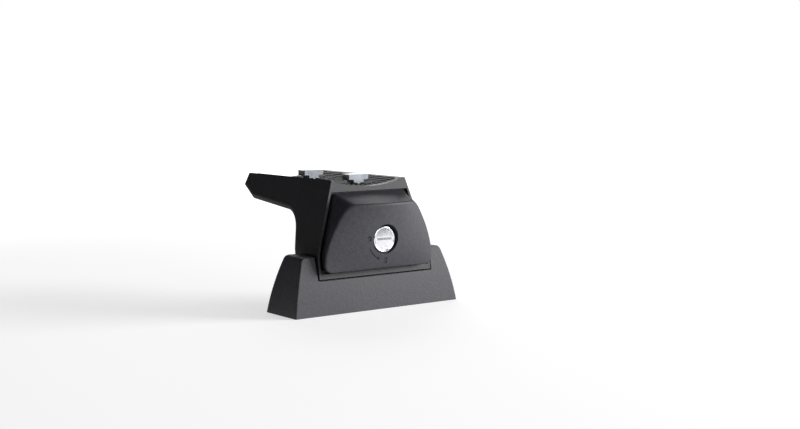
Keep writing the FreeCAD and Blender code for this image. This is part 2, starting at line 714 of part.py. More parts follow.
stepLow = d.lockHeight - d.camWasherRadius - d.camRoom
stepHigh = (stepLow + ceiling) / 2
deeper("CavityStepOne", stepLow, d.rimWidth + d.cavityDraft * 2, d.cavityBack - 0.5, backAt(stepLow) - d.legWall)
deeper("CavityStepTwo", stepHigh, d.rimWidth + d.cavityDraft * 3, d.cavityBack - 0.5, backAt(stepHigh) - d.legWall)
sumpHalf = legFootHalf - d.sumpEnd
sumpFront = footFront - d.sumpWall
sumpBack = footBack - d.sumpRearWall
cut(leg, "Sump", draw(leg, "SumpShape", "XZ_Plane", [[
    (-sumpHalf, d.sumpFloor), (sumpHalf, d.sumpFloor), (sumpHalf, d.mouthLow + 3),
    (-sumpHalf, d.mouthLow + 3)]], sumpFront), sumpFront + sumpBack)

# Arm pocket from below, sloped at its tip like the bevel outside
bevel = (d.armTip - d.armBevelY) / (armTipLow - armBevelZ)


def tipAt(z):
    return d.armBevelY - d.legWall - 1 + bevel * (term(z) - armBevelZ)


pocketStart = d.armRootY + d.legWall * 1.3
pocketLow = armRootZ - 3
loft(leg, "ArmPocket", [
    draw(leg, "ArmPocketLow", "XY_Plane", [[
        (-flankAt(pocketLow) + d.legWall, pocketStart), (flankAt(pocketLow) - d.legWall, pocketStart),
        (flankAt(pocketLow) - d.legWall, tipAt(pocketLow)), (-flankAt(pocketLow) + d.legWall, tipAt(pocketLow))]],
        pocketLow),
    draw(leg, "ArmPocketTop", "XY_Plane", [[
        (-flankAt(ceiling) + d.legWall, pocketStart + 1), (flankAt(ceiling) - d.legWall, pocketStart + 1),
        (flankAt(ceiling) - d.legWall, tipAt(ceiling)), (-flankAt(ceiling) + d.legWall, tipAt(ceiling))]],
        ceiling)], take=True, ruled=True)
ribHalf = flankAt(ceiling) - d.legWall / 2
ribs = []
for y in (d.clampRearY - d.bossRadius * 1.9, d.clampRearY + d.bossRadius * 1.6):
    ribs.append([(-ribHalf, y), (ribHalf, y), (ribHalf, y + d.legRib), (-ribHalf, y + d.legRib)])
pad(leg, "ArmRibs", draw(leg, "ArmRibLines", "XY_Plane", ribs, armBevelZ + 1), ceiling - armBevelZ)
pad(leg, "ArmKeel", draw(leg, "ArmKeelLine", "XY_Plane", [[
    (-d.legRib / 2, pocketStart - 1), (d.legRib / 2, pocketStart - 1),
    (d.legRib / 2, d.clampRearY - d.bossRadius * 1.5), (-d.legRib / 2, d.clampRearY - d.bossRadius * 1.5)]],
    armBevelZ), ceiling - armBevelZ + 1)
pad(leg, "ClampBosses", draw(leg, "ClampBossRings", "XY_Plane", [
    ("circle", 0, d.clampFrontY, d.bossRadius), ("circle", 0, d.clampRearY, d.bossRadius)],
    ceiling - d.bossDrop), d.bossDrop + 1)
ribX = d.cavityRibX
for name, s in (("Left", -1), ("Right", 1)):
    pad(leg, "CavityRib" + name, draw(leg, "CavityRibLine" + name, "YZ_Plane", [[
        (0, d.mouthLow + d.cavityDraft / 2), (backAt(d.mouthLow) - 1, d.mouthLow + d.cavityDraft / 2),
        (backAt(stepHigh) - 1, stepHigh), (0, stepHigh)]],
        ribX * s - d.legRib / 2), d.legRib)
clampHole = d.clampRadius + d.clampClear
cut(leg, "ClampHoles", draw(leg, "ClampHoleRings", "XY_Plane", [
    ("circle", 0, d.clampFrontY, clampHole), ("circle", 0, d.clampRearY, clampHole)],
    d.seatTop), d.seatTop - ceiling + d.bossDrop + 1)
cut(leg, "TrackHoles", draw(leg, "TrackHoleRings", "XY_Plane", [
    ("circle", -d.trackX, 0, d.trackRadius), ("circle", d.trackX, 0, d.trackRadius)],
    d.sumpFloor + 0.5), d.sumpFloor + 0.5)
cut(leg, "BaseScrewHoles", draw(leg, "BaseScrewRings", "XY_Plane", [
    ("circle", -baseScrewX, 0, d.baseScrewRadius + d.screwClear),
    ("circle", baseScrewX, 0, d.baseScrewRadius + d.screwClear)],
    d.gasketThick + d.baseScrewLength + 2), d.baseScrewLength)
catchScrewY = d.catchFoot - d.catchFront - d.catchScrewIn
cut(leg, "CatchScrewHoles", draw(leg, "CatchScrewRings", "XY_Plane", [
    ("circle", -d.catchScrewX, catchScrewY, d.catchScrewRadius + d.screwClear),
    ("circle", d.catchScrewX, catchScrewY, d.catchScrewRadius + d.screwClear)],
    d.sumpFloor + 0.5), d.catchScrewLength)
tag(leg, "leg_casting")

# Seat pad: a strip between two arcs round the cradle's centre
seatPad = newBody("SeatPad")
padLowR = seatRadius - 0.05
padTopR = seatRadius - d.padThick
half = d.padHalf
pad(seatPad, "SeatPadStrip", draw(seatPad, "SeatPadShape", "XZ_Plane", [[
    (half, cradleAt(half, padTopR)), ("arc", -half, cradleAt(half, padTopR), -padTopR),
    (-half, cradleAt(half, padLowR)), ("arc", half, cradleAt(half, padLowR), padLowR)]],
    -d.padFront), d.padRear - d.padFront, flip=True)
cut(seatPad, "SeatPadHoles", draw(seatPad, "SeatPadRings", "XY_Plane", [
    ("circle", 0, d.clampFrontY, clampHole), ("circle", 0, d.clampRearY, clampHole)],
    d.seatTop), d.cradleDip + d.padThick * 2)
tag(seatPad, "seat_pad")

# Clamp bolts with washers and nuts, hanging through the seat
seatFace = cradleZ - padTopR
bossFace = ceiling - d.bossDrop
for place_, y in (("front", d.clampFrontY), ("rear", d.clampRearY)):
    headLow = seatFace + d.channelLip
    nutTop = bossFace - d.washerThick - d.lockWasherThick
    nutLow = nutTop - d.nutThick
    head = block("ClampHead" + place_, -d.clampHeadLong / 2, y - d.clampHeadWide / 2, headLow,
                 d.clampHeadLong, d.clampHeadWide, d.clampHeadThick)
    chamfer = doc.addObject("Part::Chamfer", "ClampHeadEdges" + place_)
    chamfer.Base = head
    doc.recompute()
    chamfer.Edges = [(i, 0.8, 0.8) for i, e in enumerate(head.Shape.Edges, 1)
                     if abs(e.valueAt(e.FirstParameter).z - e.valueAt(e.LastParameter).z) > 1]
    neck = block("ClampNeck" + place_, -d.clampRadius, y - d.clampRadius, headLow - d.channelLip * 0.7,
                 d.clampRadius * 2, d.clampRadius * 2, d.channelLip * 0.7)
    shank = rod("ClampShank" + place_, "Z", 0, y, nutLow - d.clampTail, d.clampRadius,
                headLow - nutLow + d.clampTail + 0.5)
    tip = cone("ClampTip" + place_, "Z", 0, y, nutLow - d.clampTail - 0.8, d.clampRadius - 0.8, d.clampRadius, 0.8)
    tag(together("ClampBolt" + place_, chamfer, neck, shank, tip), "clamp_bolt_" + place_)
    ring = rod("WasherRing" + place_, "Z", 0, y, bossFace - d.washerThick, d.washerRadius, d.washerThick)
    bore = rod("WasherBore" + place_, "Z", 0, y, bossFace - d.washerThick - 1, d.clampRadius + 0.2, d.washerThick + 2)
    tag(without("ClampWasher" + place_, ring, bore), "clamp_washer_" + place_)
    ring = rod("SplitRing" + place_, "Z", 0, y, nutTop, d.lockWasherRadius, d.lockWasherThick)
    bore = rod("SplitBore" + place_, "Z", 0, y, nutTop - 1, d.clampRadius + 0.15, d.lockWasherThick + 2)
    gap = block("SplitGap" + place_, d.clampRadius * 0.5, y - 0.5, nutTop - 1, d.lockWasherRadius, 1.0,
                d.lockWasherThick + 2)
    tag(without("ClampLockWasher" + place_, ring, bore, gap), "clamp_lock_washer_" + place_)
    nut = prism("NutBlank" + place_, 0, y, nutLow, d.nutAcross, d.nutThick)
    corner = d.nutAcross / root(term(3.0))
    bevelTop = cone("NutBevelTop" + place_, "Z", 0, y, nutLow, corner + d.nutThick * 0.9,
                    corner * 0.93, d.nutThick)
    bevelLow = cone("NutBevelLow" + place_, "Z", 0, y, nutLow, corner * 0.93,
                    corner + d.nutThick * 0.9, d.nutThick)
    shaped = shared("NutShaped" + place_, shared("NutTopped" + place_, nut, bevelTop), bevelLow)
    bore = rod("NutBore" + place_, "Z", 0, y, nutLow - 1, d.clampRadius + d.threadClear, d.nutThick + 2)
    tag(without("ClampNut" + place_, shaped, bore), "clamp_nut_" + place_)

# Catch: bent plate on the sump's floor, its screws hold it down
catch = newBody("CatchPlate")
bend = d.catchThick
pad(catch, "CatchProfile", draw(catch, "CatchSide", "YZ_Plane", [[
    (-d.catchFront, d.sumpFloor), (d.catchFoot - d.catchFront, d.sumpFloor),
    (d.catchFoot - d.catchFront, d.sumpFloor + bend), (-d.catchFront + bend, d.sumpFloor + bend),
    (-d.catchFront + bend, d.catchTop), (-d.catchFront, d.catchTop)]]), d.catchHalf * 2, both=True)
roundOff(catch, "CatchBendInside", d.catchThick * 0.5, lambda m, v, e: (
    abs(m.y - (bend - d.catchFront).value) < 0.01 and abs(m.z - (d.sumpFloor + bend).value) < 0.01))
roundOff(catch, "CatchBendOutside", d.catchThick * 1.5, lambda m, v, e: (
    abs(m.y + d.catchFront.value) < 0.01 and abs(m.z - d.sumpFloor.value) < 0.01))
roundOff(catch, "CatchCorners", 3.0, lambda m, v, e: (
    abs(abs(m.x) - d.catchHalf.value) < 0.01 and (m.z > d.catchTop.value - 0.01
    or m.y > (d.catchFoot - d.catchFront).value - 0.01) and abs(v.x) < 0.01 and v.Length < 3))
cut(catch, "CatchHoles", draw(catch, "CatchHoleRings", "XY_Plane", [
    ("circle", -d.catchScrewX, catchScrewY, d.catchScrewRadius + d.screwClear),
    ("circle", d.catchScrewX, catchScrewY, d.catchScrewRadius + d.screwClear)],
    d.sumpFloor + bend + 1), bend + 2)
tag(catch, "catch_plate")
for side, s in (("left", -1), ("right", 1)):
    top = d.sumpFloor + d.catchThick
    shank = rod("CatchShank" + side, "Z", d.catchScrewX * s, catchScrewY, top + 0.1 - d.catchScrewLength,
                d.catchScrewRadius, d.catchScrewLength)
    head = rod("CatchHead" + side, "Z", d.catchScrewX * s, catchScrewY, top, d.catchScrewRadius * 1.8,
               d.catchScrewRadius * 1.2)
    socket = prism("CatchSocket" + side, d.catchScrewX * s, catchScrewY, top + d.catchScrewRadius * 0.5,
                   d.catchScrewRadius * 1.6, d.catchScrewRadius)
    tag(without("CatchScrew" + side, together("CatchBlank" + side, shank, head), socket), "catch_screw_" + side)

# Cover: sections at rising heights; each has straight sides and a swelling front
coverHalfLow = d.legHalf - d.coverInset + d.coverFlare
coverHalfTop = coverHalfLow - d.coverTaper
coverFrontLow = flangeFront + d.coverStand
coverFrontTop = coverFrontLow + d.coverForward


def coverAt(z):
    # half width, edge and swell of the face at a height
    z = term(z)
    span = coverBrow - d.coverBroad
    rise = (z - d.coverLow) / (coverBrow - d.coverLow)
    half_ = coverHalfLow
    if z.value > d.coverBroad.value:
        half_ = half_ - (coverHalfLow - coverHalfTop) * ((z - d.coverBroad) / span) ** 1.7
    front = coverFrontLow + (coverFrontTop - coverFrontLow) * rise ** 2
    swell = d.pillowLow + (d.pillowTop - d.pillowLow) * (1 - (1 - rise) ** 5)
    return half_, front, swell


coverAtLock = coverAt(d.lockHeight)
lockFront = coverAtLock[1] + coverAtLock[2] - d.lockRecess


def bulge(half_, swell):
    return (half_ ** 2 + swell ** 2) / (swell * 2)


def coverSection(body, name, z, inset):
    z = term(z)
    half_, front, swell = coverAt(z)
    side = flankAt(z) - d.coverInset
    back = rimAt(z) - d.coverGap
    if inset is not None:
        side = side - inset
        half_ = half_ - inset
        front = front - inset
        back = back + 1
    return draw(body, name, "XY_Plane", [[
        (-side, back), (-half_, -front), ("arc", half_, -front, bulge(half_, swell)), (side, back)]], z)


def peakSection(body, name, z, half_, back, front):
    # short section where the brow meets the leg
    swell = d.pillowTop * 0.15
    return draw(body, name, "XY_Plane", [[
        (-half_, back), (-half_ + 0.4, front), ("arc", half_ - 0.4, front, bulge(half_ - 0.4, swell)),
        (half_, back)]], z)


def ladder(low, high, count):
    return [low + (high - low) * (i / (count - 1)) for i in range(count)]


outer = newBody("CoverOuter")
loft(outer, "CoverFaceLoft", [
    coverSection(outer, "CoverSection%d" % i, z, None)
    for i, z in enumerate([d.coverLow, (d.coverLow + d.coverBroad) / 2] + ladder(d.coverBroad, coverBrow, 6))])
peakHalf = flankAt(coverTop) - d.coverInset
peakBack = rimAt(coverTop) - d.coverGap
loft(outer, "CoverBrowLoft", [
    coverSection(outer, "CoverBrowLine", coverBrow, None),
    peakSection(outer, "CoverPeakLine", coverTop, peakHalf, peakBack, peakBack - 1.2)], ruled=True)
roundOff(outer, "CoverLowerCorners", d.coverCorner, lambda m, v, e: (
    abs(m.z - d.coverLow.value) < 0.05 and abs(m.x) > coverHalfLow.value * 0.9 and abs(v.y) > 1))

inner = newBody("CoverInner")
innerTop = coverBrow - d.coverWall * 1.1
loft(inner, "CoverInnerLoft", [
    coverSection(inner, "CoverInner%d" % i, z, d.coverWall)
    for i, z in enumerate([d.coverLow + d.coverWall] + ladder(d.coverBroad, innerTop, 5))])
innerPeak = coverTop - d.coverWall * 1.1
loft(inner, "CoverInnerBrow", [
    coverSection(inner, "CoverInnerLine", innerTop, d.coverWall),
    peakSection(inner, "CoverInnerPeak", innerPeak, flankAt(innerPeak) - d.coverInset - d.coverWall,
                rimAt(innerPeak) - d.coverGap + 1, rimAt(innerPeak) - d.coverGap - 1)], ruled=True)

# What stays inside the hollow: lock boss and stiffening ribs
lockBore = d.housingRadius + d.housingFit
bossOuter = lockBore + d.lockBossWall
deepest = coverFrontTop + d.pillowTop + 2
wellFloor = lockFront - d.faceThick - d.faceGap - d.sealThick
boss = rod("LockBoss", "Y", 0, -deepest, d.lockHeight, bossOuter, deepest - d.lockBossBack)
ribList = [boss]
for name, s in (("Left", -1), ("Right", 1)):
    ribList.append(block("CoverRibSide" + name, d.tongueX * s - d.ribThick / 2, -deepest, d.coverLow,
                         d.ribThick, deepest - coverFrontLow + 4, coverBrow - d.coverLow))
ribList.append(block("CoverRibOver", -coverHalfLow, -deepest, d.lockHeight + bossOuter + 2,
                     coverHalfLow * 2, deepest - coverFrontLow + 4, d.ribThick))
kept = together("CoverKept", *ribList)
shell = without("CoverHollowed", outer, without("CoverRoom", inner, kept))
addOns = [shell]
bumperX = d.cavityRibX
for name, s in (("Left", -1), ("Right", 1)):
    addOns.append(rod("BumperPillar" + name, "Y", bumperX * s, -(coverFrontTop - 0.9), d.bumperZ,
                      d.bumperRadius + 1, coverFrontTop - 0.9 - d.bumperReach - 0.1))
    addOns.append(block("LowerTongue" + name, d.tongueX * s - d.tongueHalf, -coverFrontLow + 0.6,
                        d.mouthLow + d.cavityDraft / 2 + d.tongueClear, d.tongueHalf * 2,
                        coverFrontLow - 0.6 - flangeFront + d.legWall + d.tongueReach, d.tongueThick))
addOns.append(block("UpperTongue", -d.tongueX + d.tongueHalf, rimAt(ceiling) - d.legWall * 2,
                    ceiling - d.tongueClear - d.tongueThick, (d.tongueX - d.tongueHalf) * 2,
                    d.legWall * 2 + d.tongueReach, d.tongueThick))
joined = together("CoverJoined", *addOns)
well = rod("LockWell", "Y", 0, -deepest - 1, d.lockHeight, d.lockWellRadius, deepest + 1 - wellFloor)
bore = rod("LockBore", "Y", 0, -deepest - 1, d.lockHeight, lockBore, deepest + 2)
stemHoles = [rod("StemHole" + name, "Y", bumperX * s, -d.bumperReach - d.bumperStem * 2, d.bumperZ,
                 d.bumperStem + d.screwClear, d.bumperStem * 2 + 1)
             for name, s in (("Left", -1), ("Right", 1))]
tag(without("CoverShell", joined, well, bore, *stemHoles), "cover_shell")
for name, side, s in (("Left", "left", -1), ("Right", "right", 1)):
    button = rod("Button" + name, "Y", bumperX * s, -d.bumperReach, d.bumperZ, d.bumperRadius,
                 d.bumperReach - d.bumperRest)
    stem = rod("ButtonStem" + name, "Y", bumperX * s, -d.bumperReach - d.bumperStem * 1.8, d.bumperZ,
               d.bumperStem, d.bumperStem * 1.8 + 0.5)
    soft = doc.addObject("Part::Fillet", "ButtonSoft" + name)
    soft.Base = button
    doc.recompute()
    soft.Edges = [(i, 0.7, 0.7) for i, e in enumerate(button.Shape.Edges, 1)
                  if e.Closed and e.BoundBox.YMax > -d.bumperRest.value - 0.05 and e.BoundBox.YLength < 0.01]
    tag(together("Bumper" + name, soft, stem), "cover_bumper_" + side)

# Lock barrel, its clip and its rubber ring
lockZ = d.lockHeight
barrelFront = lockFront - d.faceThick - d.faceGap
barrel = rod("Barrel", "Y", 0, -barrelFront, lockZ, d.housingRadius, barrelFront - d.housingBack)
plugBore = rod("BarrelBore", "Y", 0, -barrelFront - 1, lockZ, d.plugRadius + d.plugFit, barrelFront + 1)
grooveFront = d.lockBossBack - 0.05
ringOut = rod("GrooveOut", "Y", 0, -grooveFront, lockZ, d.housingRadius + 1, d.clipThick + 0.1)
ringIn = rod("GrooveIn", "Y", 0, -grooveFront - 1, lockZ, d.housingRadius - d.clipGroove, d.clipThick + 3)
tag(without("LockHousing", barrel, plugBore, without("ClipGroove", ringOut, ringIn)), "lock_housing")
clipFront = grooveFront - 0.05
clipOut = rod("ClipOut", "Y", 0, -clipFront, lockZ, d.housingRadius - d.clipGroove + d.clipWidth, d.clipThick)
clipIn = rod("ClipIn", "Y", 0, -clipFront - 1, lockZ, d.housingRadius - d.clipGroove + 0.06, d.clipThick + 2)
clipGap = block("ClipGap", -d.housingRadius * 0.55, -clipFront - 1, lockZ, d.housingRadius * 1.1,
                d.clipThick + 2, d.housingRadius * 2)
tag(without("LockClip", clipOut, clipIn, clipGap), "lock_clip")
sealOut = rod("SealOut", "Y", 0, -barrelFront, lockZ, d.lockWellRadius - 0.05, d.sealThick - 0.05)
sealIn = rod("SealIn", "Y", 0, -barrelFront - 1, lockZ, d.housingRadius + 0.05, d.sealThick + 2)
tag(without("LockSeal", sealOut, sealIn), "lock_seal")

# Core: face, plug with keyway and wafer slots, wafers, cam with its screw
faceDisc = rod("FaceDisc", "Y", 0, -lockFront, lockZ, d.faceRadius, d.faceThick)
faceSoft = doc.addObject("Part::Chamfer", "FaceBevel")
faceSoft.Base = faceDisc
doc.recompute()
faceSoft.Edges = [(i, 0.35, 0.35) for i, e in enumerate(faceDisc.Shape.Edges, 1)
                  if e.Closed and e.BoundBox.YMin < -lockFront.value + 0.05 and e.BoundBox.YLength < 0.01]
slot = block("FaceSlot", -d.slotHalf, -lockFront - 1, lockZ - d.slotTall / 2, d.slotHalf * 2,
             d.faceThick + 2, d.slotTall)
tag(without("LockFace", faceSoft, slot), "lock_face")

camFront = d.catchThick - d.catchFront + d.camGap
camBack = camFront + d.camThick
plugFront = lockFront - d.faceThick
plugBody = rod("PlugBody", "Y", 0, -plugFront, lockZ, d.plugRadius, plugFront + camFront)
tail = block("PlugTail", -d.tailHalf, camFront - 0.5, lockZ - d.tailHalf, d.tailHalf * 2,
             d.camThick + 0.3, d.tailHalf * 2)
waferRows = [d.waferFirst - d.waferPitch * i for i in range(5)]
keyway = block("Keyway", -d.keywayHalf, -plugFront - 1, lockZ - d.slotTall / 2, d.keywayHalf * 2,
               plugFront + 1 - waferRows[4] + d.waferPitch / 2, d.slotTall)
tools = [keyway, rod("PlugThread", "Y", 0, -d.camScrewDeep - 0.4, lockZ, d.camScrewRadius + d.screwClear,
                     d.camScrewDeep + camBack + 2)]
waferHalf = root(d.plugRadius ** 2 - (d.waferTall / 2) ** 2) - 0.1
for i, y in enumerate(waferRows, 1):
    tools.append(block("WaferSlot%d" % i, -d.plugRadius - 1, -y - d.waferClear, lockZ - d.waferTall / 2 - d.waferClear,
                       (d.plugRadius + 1) * 2, d.waferThick + d.waferClear * 2, d.waferTall + d.waferClear * 2))
    plate_ = block("WaferPlate%d" % i, -waferHalf, -y, lockZ - d.waferTall / 2, waferHalf * 2,
                   d.waferThick, d.waferTall)
    window = block("WaferWindow%d" % i, -d.keywayHalf + 0.2, -y - 1, lockZ - d.slotTall / 2 + 0.1,
                   (d.keywayHalf - 0.2) * 2, d.waferThick + 2, d.slotTall - 0.2)
    tag(without("Wafer%d" % i, plate_, window), "lock_wafer_%d" % i)
tag(without("LockPlug", together("PlugBlank", plugBody, tail), *tools), "lock_plug")

cam = newBody("LockCam")
pad(cam, "CamPlate", draw(cam, "CamOutline", "XZ_Plane", [[
    (0, lockZ - d.camHalf), (d.camReach, lockZ - d.camHalf), (d.camReach, lockZ + d.camHalf),
    (0, lockZ + d.camHalf)]], -camBack), d.camThick)
pad(cam, "CamHub", draw(cam, "CamHubRing", "XZ_Plane", [("circle", 0, lockZ, d.camHub)], -camBack), d.camThick)
roundOff(cam, "CamTip", d.camHalf * 0.5, lambda m, v, e: (
    abs(m.x - d.camReach.value) < 0.01 and abs(v.y) > 1))
square = d.tailHalf + d.camFit
cut(cam, "CamSquare", draw(cam, "CamSquareHole", "XZ_Plane", [[
    (-square, lockZ - square), (square, lockZ - square), (square, lockZ + square),
    (-square, lockZ + square)]], -camFront + 1), d.camThick + 2)
tag(cam, "lock_cam")
ring = rod("CamWasherRing", "Y", 0, camBack, lockZ, d.camWasherRadius, d.camWasherThick)
hole = rod("CamWasherHole", "Y", 0, camBack - 1, lockZ, d.camScrewRadius + d.screwClear, d.camWasherThick + 2)
tag(without("CamWasher", ring, hole), "cam_washer")
headStart = camBack + d.camWasherThick
head = rod("CamScrewHead", "Y", 0, headStart, lockZ, d.camScrewHead, d.camScrewHeadThick)
shank = rod("CamScrewShank", "Y", 0, -d.camScrewDeep, lockZ, d.camScrewRadius, d.camScrewDeep + headStart + 0.5)
drive = block("CamScrewDriveA", -d.camScrewHead * 0.55, headStart + d.camScrewHeadThick * 0.45, lockZ - 0.4,
              d.camScrewHead * 1.1, d.camScrewHeadThick, 0.8)
driveB = block("CamScrewDriveB", -0.4, headStart + d.camScrewHeadThick * 0.45, lockZ - d.camScrewHead * 0.55,
               0.8, d.camScrewHeadThick, d.camScrewHead * 1.1)
tag(without("CamScrew", together("CamScrewBlank", head, shank), drive, driveB), "cam_screw")

doc.recompute()
os.makedirs("parts", exist_ok=True)
bad = [o.Name for o in doc.Objects if "Invalid" in o.State or "Error" in o.State]
if bad:
    raise RuntimeError("failed: " + ", ".join(bad))
for p in parts:
    s = p.Shape
    if s.isNull() or not s.isValid() or not s.Solids:
        raise RuntimeError(p.Label + " has no valid solid")
    print("%-24s solids %d volume %10.1f box %s" % (
        p.Label, len(s.Solids), s.Volume,
        " ".join("%.2f" % v for v in (s.BoundBox.XMin, s.BoundBox.XMax, s.BoundBox.YMin,
                                      s.BoundBox.YMax, s.BoundBox.ZMin, s.BoundBox.ZMax))))
for p in parts:
    p.Shape.exportStep("parts/" + p.Label + ".step")
print(len(parts), "pieces")
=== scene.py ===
import math
import bmesh
import bpy
import numpy as np
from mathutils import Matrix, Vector


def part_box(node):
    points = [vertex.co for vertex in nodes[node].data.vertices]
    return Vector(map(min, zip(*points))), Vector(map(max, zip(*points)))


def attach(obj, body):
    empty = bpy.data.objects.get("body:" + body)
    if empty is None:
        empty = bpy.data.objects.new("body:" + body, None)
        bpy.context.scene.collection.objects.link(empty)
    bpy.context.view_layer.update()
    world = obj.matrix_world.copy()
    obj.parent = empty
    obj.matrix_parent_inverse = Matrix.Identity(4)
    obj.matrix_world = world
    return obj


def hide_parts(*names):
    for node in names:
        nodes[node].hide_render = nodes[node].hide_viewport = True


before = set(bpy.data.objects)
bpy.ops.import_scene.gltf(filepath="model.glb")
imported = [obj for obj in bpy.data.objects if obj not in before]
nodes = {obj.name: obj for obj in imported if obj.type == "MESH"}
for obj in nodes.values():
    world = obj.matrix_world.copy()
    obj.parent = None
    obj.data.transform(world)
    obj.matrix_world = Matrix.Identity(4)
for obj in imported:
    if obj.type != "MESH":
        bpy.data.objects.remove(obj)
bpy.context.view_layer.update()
print("frame: %d nodes" % len(nodes))

mm = 0.001


# Node helpers and colour

def linear(hexText):
    # sRGB hex text to a linear colour with alpha
    values = [int(hexText[i:i + 2], 16) / 255 for i in (1, 3, 5)]
    return [v / 12.92 if v <= 0.04045 else ((v + 0.055) / 1.055) ** 2.4 for v in values] + [1.0]


def addNode(tree, kind, inputs=None, **settings):
    # adds a node; an input that is a socket is linked, any other is set
    node = tree.nodes.new(kind)
    for name, value in settings.items():
        setattr(node, name, value)
    for name, value in (inputs or {}).items():
        if isinstance(value, bpy.types.NodeSocket):
            tree.links.new(value, node.inputs[name])
        else:
            node.inputs[name].default_value = value
    return node


def newMaterial(name):
    material = bpy.data.materials.new(name)
    material.use_nodes = True
    material.node_tree.nodes.clear()
    return material, material.node_tree


def finishMaterial(tree, shader):
    output = tree.nodes.new("ShaderNodeOutputMaterial")
    tree.links.new(shader.outputs[0], output.inputs["Surface"])


# Materials

mouldedNylon = {
    "dark": "#1f1d23",          # the resin where the grain is deepest
    "light": "#39373f",         # and on the worn tips of the grain
    "grainMm": 1.7,             # spark grain is about 0.2 mm; drawn coarser so that it shows
    "mottleMm": 3.4,            # cloudiness of the filled resin
    "roughness": 0.58,
    "grainDepthMm": 0.12,
}

powderCoat = {
    "dark": "#131216",
    "light": "#242228",
    "grainMm": 1.8,             # orange peel of a sprayed and baked coat
    "mottleMm": 9.0,
    "roughness": 0.55,
    "grainDepthMm": 0.10,
}


def grainedBlack(name, look):
    # black skin with fine grain, as glass-filled nylon from a spark-eroded mould or powder coat on a
    # casting has: broad soft gloss, faint clouds of lighter grey, small bumps that break up highlights
    material, tree = newMaterial(name)
    place = addNode(tree, "ShaderNodeTexCoord")
    grain = addNode(tree, "ShaderNodeTexNoise", {
        "Vector": place.outputs["Object"], "Scale": 1 / (look["grainMm"] * mm),
        "Detail": 3.0, "Roughness": 0.6})
    clouds = addNode(tree, "ShaderNodeTexNoise", {
        "Vector": place.outputs["Object"], "Scale": 1 / (look["mottleMm"] * mm),
        "Detail": 4.0, "Roughness": 0.65})
    tips = addNode(tree, "ShaderNodeMapRange", {
        "Value": grain.outputs["Fac"], "From Min": 0.3, "From Max": 0.7, "To Min": 0.1, "To Max": 0.5})
    drifts = addNode(tree, "ShaderNodeMapRange", {
        "Value": clouds.outputs["Fac"], "From Min": 0.33, "From Max": 0.67,
        "To Min": 0.05, "To Max": 0.45})
    blend = addNode(tree, "ShaderNodeMath", {
        0: tips.outputs["Result"], 1: drifts.outputs["Result"]}, operation="ADD")
    colour = addNode(tree, "ShaderNodeMix", {
        "Factor": blend.outputs[0], 6: linear(look["dark"]), 7: linear(look["light"])},
        data_type="RGBA")
    rough = addNode(tree, "ShaderNodeMapRange", {
        "Value": clouds.outputs["Fac"],
        "To Min": look["roughness"] - 0.05, "To Max": look["roughness"] + 0.07})
    bump = addNode(tree, "ShaderNodeBump", {
        "Height": grain.outputs["Fac"], "Strength": 1.0, "Distance": look["grainDepthMm"] * mm})
    shader = addNode(tree, "ShaderNodeBsdfPrincipled", {
        "Base Color": colour.outputs[2], "Roughness": rough.outputs["Result"], "IOR": 1.5,
        "Normal": bump.outputs["Normal"]})
    finishMaterial(tree, shader)
    return material


metals = {
    # screws, bolts and plates: bluish grey plating with a broken shine
    "zincPlatedSteel": {
        "pale": "#a2a6ab", "deep": "#7c8187", "roughness": 0.34, "brushMm": 0.35, "depthMm": 0.004},
    # rolled shutter in the key slot: greyer than the chrome about it
    "shutterSteel": {
        "pale": "#a6a9ad", "deep": "#8d9095", "roughness": 0.26, "brushMm": 0.3, "depthMm": 0.003},
    # passivated barrel: only its rim shows, as a dark ring round the bright face
    "blackZinc": {
        "pale": "#303033", "deep": "#222224", "roughness": 0.42, "brushMm": 0.8, "depthMm": 0.012},
    # plug and wafers: warm yellow with soft tool marks
    "machinedBrass": {
        "pale": "#d3b06a", "deep": "#b08d49", "roughness": 0.30, "brushMm": 0.3, "depthMm": 0.005},
}


def metal(name, look):
    # bare or plated metal: fine tool or plating marks break the shine, and a cloudy tone twelve times
    # coarser than the marks lies over them
    material, tree = newMaterial(name)
    place = addNode(tree, "ShaderNodeTexCoord")
    marks = addNode(tree, "ShaderNodeTexNoise", {
        "Vector": place.outputs["Object"], "Scale": 1 / (look["brushMm"] * mm),
        "Detail": 4.0, "Roughness": 0.7})
    clouds = addNode(tree, "ShaderNodeTexNoise", {
        "Vector": place.outputs["Object"], "Scale": 1 / (look["brushMm"] * mm * 12), "Detail": 2.0})
    colour = addNode(tree, "ShaderNodeMix", {
        "Factor": clouds.outputs["Fac"], 6: linear(look["deep"]), 7: linear(look["pale"])},
        data_type="RGBA")
    rough = addNode(tree, "ShaderNodeMapRange", {
        "Value": marks.outputs["Fac"],
        "To Min": look["roughness"] - 0.08, "To Max": look["roughness"] + 0.12})
    bump = addNode(tree, "ShaderNodeBump", {
        "Height": marks.outputs["Fac"], "Strength": 0.5, "Distance": look["depthMm"] * mm})
    shader = addNode(tree, "ShaderNodeBsdfPrincipled", {
        "Base Color": colour.outputs[2], "Metallic": 1.0, "Roughness": rough.outputs["Result"],
        "Normal": bump.outputs["Normal"]})
    finishMaterial(tree, shader)
    return material


chromeLook = {
    "pale": "#f2f2f5", "deep": "#c6c7cc", "roughness": 0.14,
    "ringMm": 0.22, "depthMm": 0.003, "smearMm": 3.0,
}


